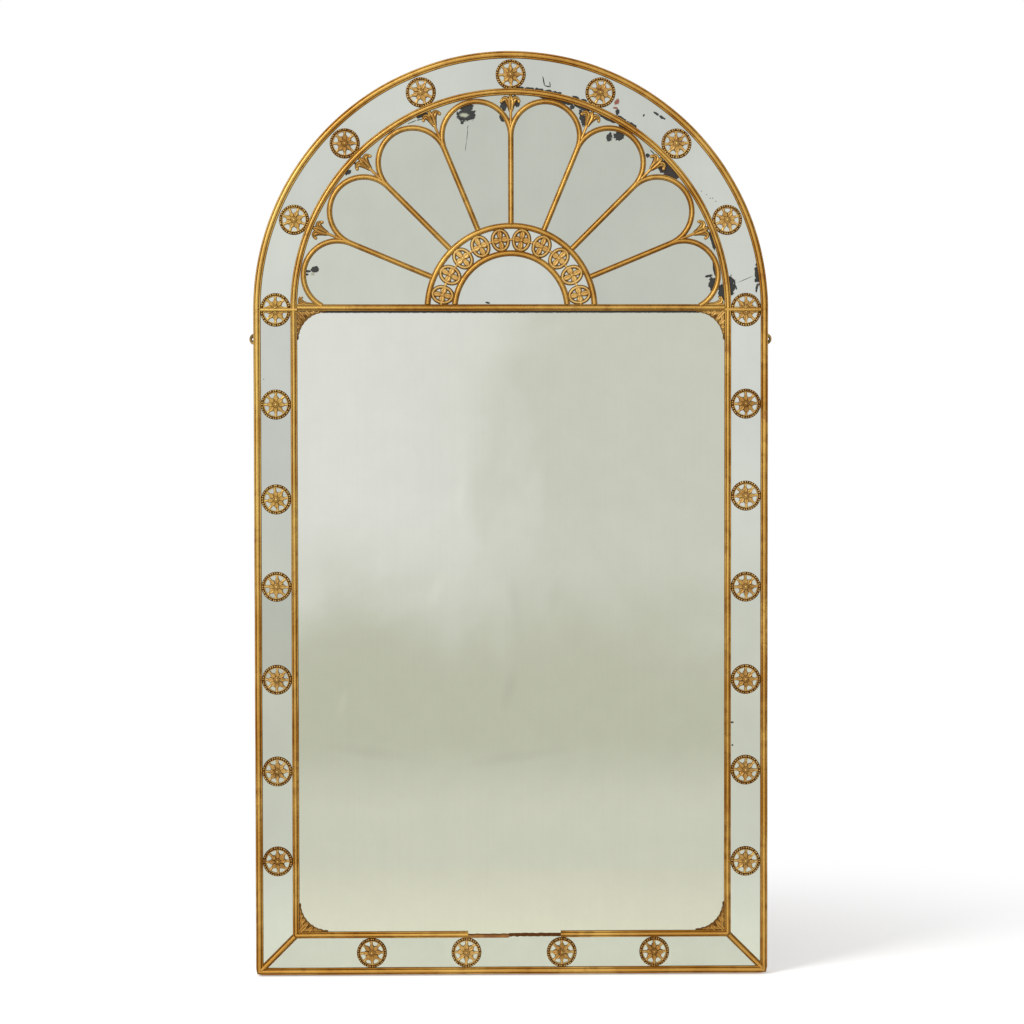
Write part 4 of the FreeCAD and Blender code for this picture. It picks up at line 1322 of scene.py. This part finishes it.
def rosette(look, seed):
    shape = Shape()
    ring = rosetteRadius - look["rim"] / 2
    inside = rosetteRadius - look["rim"] - look["lip in"]
    rim = evenShade(roundProfile(look["rim"], look["rim height"], 6, look["rim base"]), look["rim shade"])
    sweep(shape, ovalPath(ring, ring, 48), rim, True, seed, carvingWave)
    lip = roundProfile(look["lip"], look["lip height"], 5, 0.8)
    sweep(shape, ovalPath(inside, inside, 48), lip, True, seed, carvingWave)
    reach = ring + look["bead out"]
    for index in range(look["beads"]):
        angle = 2 * pi * index / look["beads"] + 0.02 * sin(seed + index * 3)
        size = 1.0 + 0.12 * sin(seed * 7 + index * 5)
        dome(shape, reach * cos(angle), reach * sin(angle), look["bead"][0] * size, look["bead"][1] * size,
             look["bead height"] * size, look["bead base"], math.degrees(angle), around=8, rings=3)
    for index in range(look["rays"]):
        rosetteRay(shape, look, index, inside + look["spoke lap"], seed)
    eye = evenShade(roundProfile(look["eye ring"], look["eye height"], 5, 2.0), look["eye shade"])
    sweep(shape, ovalPath(look["eye"], look["eye"], 20), eye, True, seed, 0.05)
    dome(shape, 0, 0, look["ground"], look["ground"], look["ground height"], 1.6, around=16, rings=3)
    dome(shape, 0, 0, look["boss"], look["boss"], look["boss height"], 2.0, around=12)
    return shape


def splitHalves(shape, shift):
    # cut along the local x axis, the halves moved apart and the cuts closed
    work = bmesh.new()
    layer = work.verts.layers.float.new("paintedShade")
    points = [work.verts.new(point) for point in shape.points]
    for vert, paintedShade in zip(points, shape.paintedShade):
        vert[layer] = paintedShade
    for face in shape.faces:
        work.faces.new([points[index] for index in face])
    halves = Shape()
    for outward in (1, -1):
        part = work.copy()
        partLayer = part.verts.layers.float["paintedShade"]
        whole = part.verts[:] + part.edges[:] + part.faces[:]
        middle = (0, -outward * rosetteLook["saw cut"], 0)
        cut = bmesh.ops.bisect_plane(part, geom=whole, plane_co=middle, plane_no=(0, outward, 0),
                                     clear_outer=True)
        rim = [item for item in cut["geom_cut"] if isinstance(item, bmesh.types.BMEdge)]
        bmesh.ops.holes_fill(part, edges=rim, sides=0)
        part.verts.index_update()
        start = len(halves.points)
        for vert in part.verts:
            halves.point(vert.co.x, vert.co.y - outward * shift, vert.co.z, vert[partLayer])
        halves.faces.extend([tuple(start + vert.index for vert in face.verts) for face in part.faces])
        part.free()
    work.free()
    return halves


# set by eye when they were fixed: how far each sits below, right of or inside its joint
wheelShift = {
    "left": (4.2, 9.0, 0.0, 2.0, 2.0, -1.0), "right": (3.5, 3.5, 2.0, 3.5, 2.0, 2.0),
    "bottom": (0.0, 2.0, 5.5, 4.0), "arch": 2.2, "slipped": 1, "slipped turn": 10.0, "hand turn": 3.0,
}
places = []
for index, (left, right) in enumerate(zip(wheelShift["left"], wheelShift["right"])):
    level = springZ - sideStep * (index + 1)
    turn = wheelShift["slipped turn"] if index == wheelShift["slipped"] else 0.0
    places.append((-borderMiddle, level - left, turn))
    places.append((borderMiddle, level - right, 0.0))
for index, shift in enumerate(wheelShift["bottom"]):
    places.append((bottomStep * (index - 1.5) + shift, bottomMiddle, 0.0))
for ray in range(1, bayCount):
    places.append((*polarPoint(borderMiddle - wheelShift["arch"], bayAngle * ray), bayAngle * ray - 90))
wheels = Shape()
for index, (x, z, turn) in enumerate(places):
    wheels.add(rosette(rosetteLook, 1.3 * index), x, z, turn + wheelShift["hand turn"] * sin(index * 2.7))
giltPiece("rosettes.carved", wheels, carvedGilt, "rosettes")
cutWheels = Shape()
for sign in (-1, 1):
    cutWheel = splitHalves(rosette(rosetteLook, 50.0 + sign), barLook["width"] / 2)
    cutWheels.add(cutWheel, sign * borderMiddle, springZ)
giltPiece("rosettes.split", cutWheels, carvedGilt, "split_rosettes")
print("stage rosettes")


# Wood screws in the brass plates and nails in the backboards
fixingLook = {
    "screw": 4.0, "screw height": 0.6, "screw in": 26.0, "screw up": 12.5, "slot": 0.9, "slot reach": 0.72,
    "slot depth": 0.5, "slot proud": 0.04, "nail": 2.4, "nail height": 0.5, "nail in": 40.0, "nail edge": 6.5,
    "nail stray": 6.0, "sides": 16,
}


def backHead(shape, x, z, radius, height):
    # heights run behind the back of the frame
    rows = []
    for level, share in ((0.0, 1.0), (0.7 * height, 0.96), (height, 0.7)):
        row = []
        for index in range(fixingLook["sides"]):
            angle = 2 * pi * index / fixingLook["sides"]
            place = (x + radius * share * cos(angle), z + radius * share * sin(angle))
            row.append(shape.point(*place, -glassDepth - level))
        rows.append(row)
    shape.tube(rows)


def screwSlot(shape, look, x, z, turn):
    long, wide = look["slot reach"] * look["screw"], look["slot"] / 2
    rows = []
    for level in (look["screw height"] - look["slot depth"], look["screw height"] + look["slot proud"]):
        row = []
        for u, v in ((-long, -wide), (long, -wide), (long, wide), (-long, wide)):
            place = (x + u * cos(turn) - v * sin(turn), z + u * sin(turn) + v * cos(turn))
            row.append(shape.point(*place, -glassDepth - level))
        rows.append(row)
    shape.tube(rows)


def fixingPiece(name, shape):
    finishMesh(name, shapeMesh(name, shape), steel, (), smoothAngle["fixings"])


screws = Shape()
for sign in (-1, 1):
    for step in (-1, 1):
        place = (sign * (outerRadius - fixingLook["screw in"]), fixingLook["screw up"] * step)
        backHead(screws, *place, fixingLook["screw"], fixingLook["screw height"])
        screwSlot(screws, fixingLook, *place, 0.7 * step + sign)
fixingPiece("brass.screws", screws)
nails = Shape()
for board in (1, 2, 3):
    low, high = cadBox("backboard_" + str(board))
    for x in (low.x + fixingLook["nail in"], (low.x + high.x) / 2, high.x - fixingLook["nail in"]):
        for z in (low.z + fixingLook["nail edge"], high.z - fixingLook["nail edge"]):
            stray = fixingLook["nail stray"] * handWave(x, z, 1.0)
            backHead(nails, x + stray, z, fixingLook["nail"], fixingLook["nail height"])
fixingPiece("backboard.nails", nails)
print("stage fixings")


# Floor, world, lights and camera
floorLook = {
    "light": (0.93, 0.93, 0.92, 1), "dark": (0.88, 0.88, 0.87, 1), "size": 30.0, "gap": 2.0, "glow": 0.3,
    "fade": (0.25, 1.3), "fade shape": (0.7, 1.0, 0.0), "roughness": 0.9,
}
worldLook = {"strength": 0.45, "ahead": (-0.72, -0.88), "lean": -0.75, "around": (-0.55, 0.75, 0.04, 1.3)}
lightLook = {
    "keyLight": {"place": (-3.2, -2.6, 2.9), "target": (0, 0, -0.2), "size": 1.8, "power": 178.0},
    "fillLight": {"place": (3.4, -2.2, 0.6), "target": (0, 0, -0.4), "size": 1.6, "power": 16.0},
}
cameraLook = {
    "place": (-0.05867, -4.0, -0.23287), "pitch": -1.3931, "yaw": 0.862, "roll": -0.0975, "lens": 73.5241,
}


def makeFloor(look):
    size, level = look["size"], (bottomZ - look["gap"]) * mm
    mesh = bpy.data.meshes.new("floor")
    outline = [(x * size, y * size, level) for x, y in ((-1, -1), (1, -1), (1, 1), (-1, 1))]
    mesh.from_pydata(outline, [], [(0, 1, 2, 3)])
    floor = bpy.data.objects.new("floor", mesh)
    bpy.context.scene.collection.objects.link(floor)
    material, tree, shader, place = newMaterial("paleFloor")
    grain = stretch(tree, noiseValue(tree, place, 3.0, 3.0), 0.3, 0.7, 0.0, 0.05)
    wire(tree, mixColour(tree, grain, look["light"], look["dark"]), shader.inputs["Base Color"])
    shader.inputs["Roughness"].default_value = look["roughness"]
    shader.inputs["Emission Color"].default_value = (1, 1, 1, 1)
    shader.inputs["Emission Strength"].default_value = look["glow"]
    distance = tree.nodes.new("ShaderNodeVectorMath")
    distance.operation = "LENGTH"
    wire(tree, scaled(tree, place, look["fade shape"]), distance.inputs[0])
    white = tree.nodes.new("ShaderNodeEmission")
    blend = tree.nodes.new("ShaderNodeMixShader")
    wire(tree, stretch(tree, distance.outputs["Value"], *look["fade"]), blend.inputs["Fac"])
    wire(tree, shader.outputs[0], blend.inputs[1])
    wire(tree, white.outputs[0], blend.inputs[2])
    wire(tree, blend.outputs[0], tree.nodes["Material Output"].inputs["Surface"])
    mesh.materials.append(material)


def makeWorld(look):
    # white to the eye; reflections see a bright patch ahead and light that falls off to the lower right
    world = bpy.data.worlds.new("paleStudio")
    bpy.context.scene.world = world
    world.use_nodes = True
    tree = world.node_tree
    background = tree.nodes["Background"]
    rays = tree.nodes.new("ShaderNodeLightPath").outputs
    split = splitPlace(tree, tree.nodes.new("ShaderNodeTexCoord").outputs["Generated"])
    ahead = stretch(tree, split["Y"], *look["ahead"])
    upperLeft = calc(tree, "ADD", times(tree, split["X"], look["lean"]), split["Z"])
    around = stretch(tree, upperLeft, *look["around"])
    white = larger(tree, rays["Is Camera Ray"], rays["Is Transmission Ray"])
    glossy = times(tree, rays["Is Glossy Ray"], larger(tree, ahead, around))
    plain = times(tree, calc(tree, "SUBTRACT", 1.0, rays["Is Glossy Ray"]), look["strength"])
    strength = larger(tree, calc(tree, "ADD", glossy, plain), white)
    wire(tree, strength, background.inputs["Strength"])
    background.inputs["Color"].default_value = (1, 1, 1, 1)


def makeLight(name, look):
    data = bpy.data.lights.new(name, "AREA")
    data.shape = "DISK"
    data.size = look["size"]
    data.energy = look["power"]
    light = bpy.data.objects.new(name, data)
    light.location = look["place"]
    aim = Vector(look["target"]) - Vector(look["place"])
    light.rotation_euler = aim.to_track_quat("-Z", "Y").to_euler()
    bpy.context.scene.collection.objects.link(light)


def makeCamera(look):
    data = bpy.data.cameras.new("photoCamera")
    data.lens = look["lens"]
    data.sensor_width = 36.0
    data.sensor_fit = "HORIZONTAL"
    camera = bpy.data.objects.new("photoCamera", data)
    pitch, yaw, roll = (radians(look[key]) for key in ("pitch", "yaw", "roll"))
    ahead = Vector((sin(yaw) * cos(pitch), cos(yaw) * cos(pitch), sin(pitch)))
    right = ahead.cross(Vector((0, 0, 1))).normalized()
    top = right.cross(ahead)
    sideways = right * cos(roll) + top * sin(roll)
    upward = top * cos(roll) - right * sin(roll)
    axes = Matrix((sideways, upward, -ahead)).transposed()
    camera.matrix_world = Matrix.Translation(look["place"]) @ axes.to_4x4()
    bpy.context.scene.collection.objects.link(camera)
    bpy.context.scene.camera = camera


makeFloor(floorLook)
makeWorld(worldLook)
for name, look in lightLook.items():
    makeLight(name, look)
makeCamera(cameraLook)
bpy.context.scene.view_settings.view_transform = "Standard"
print("stage studio")
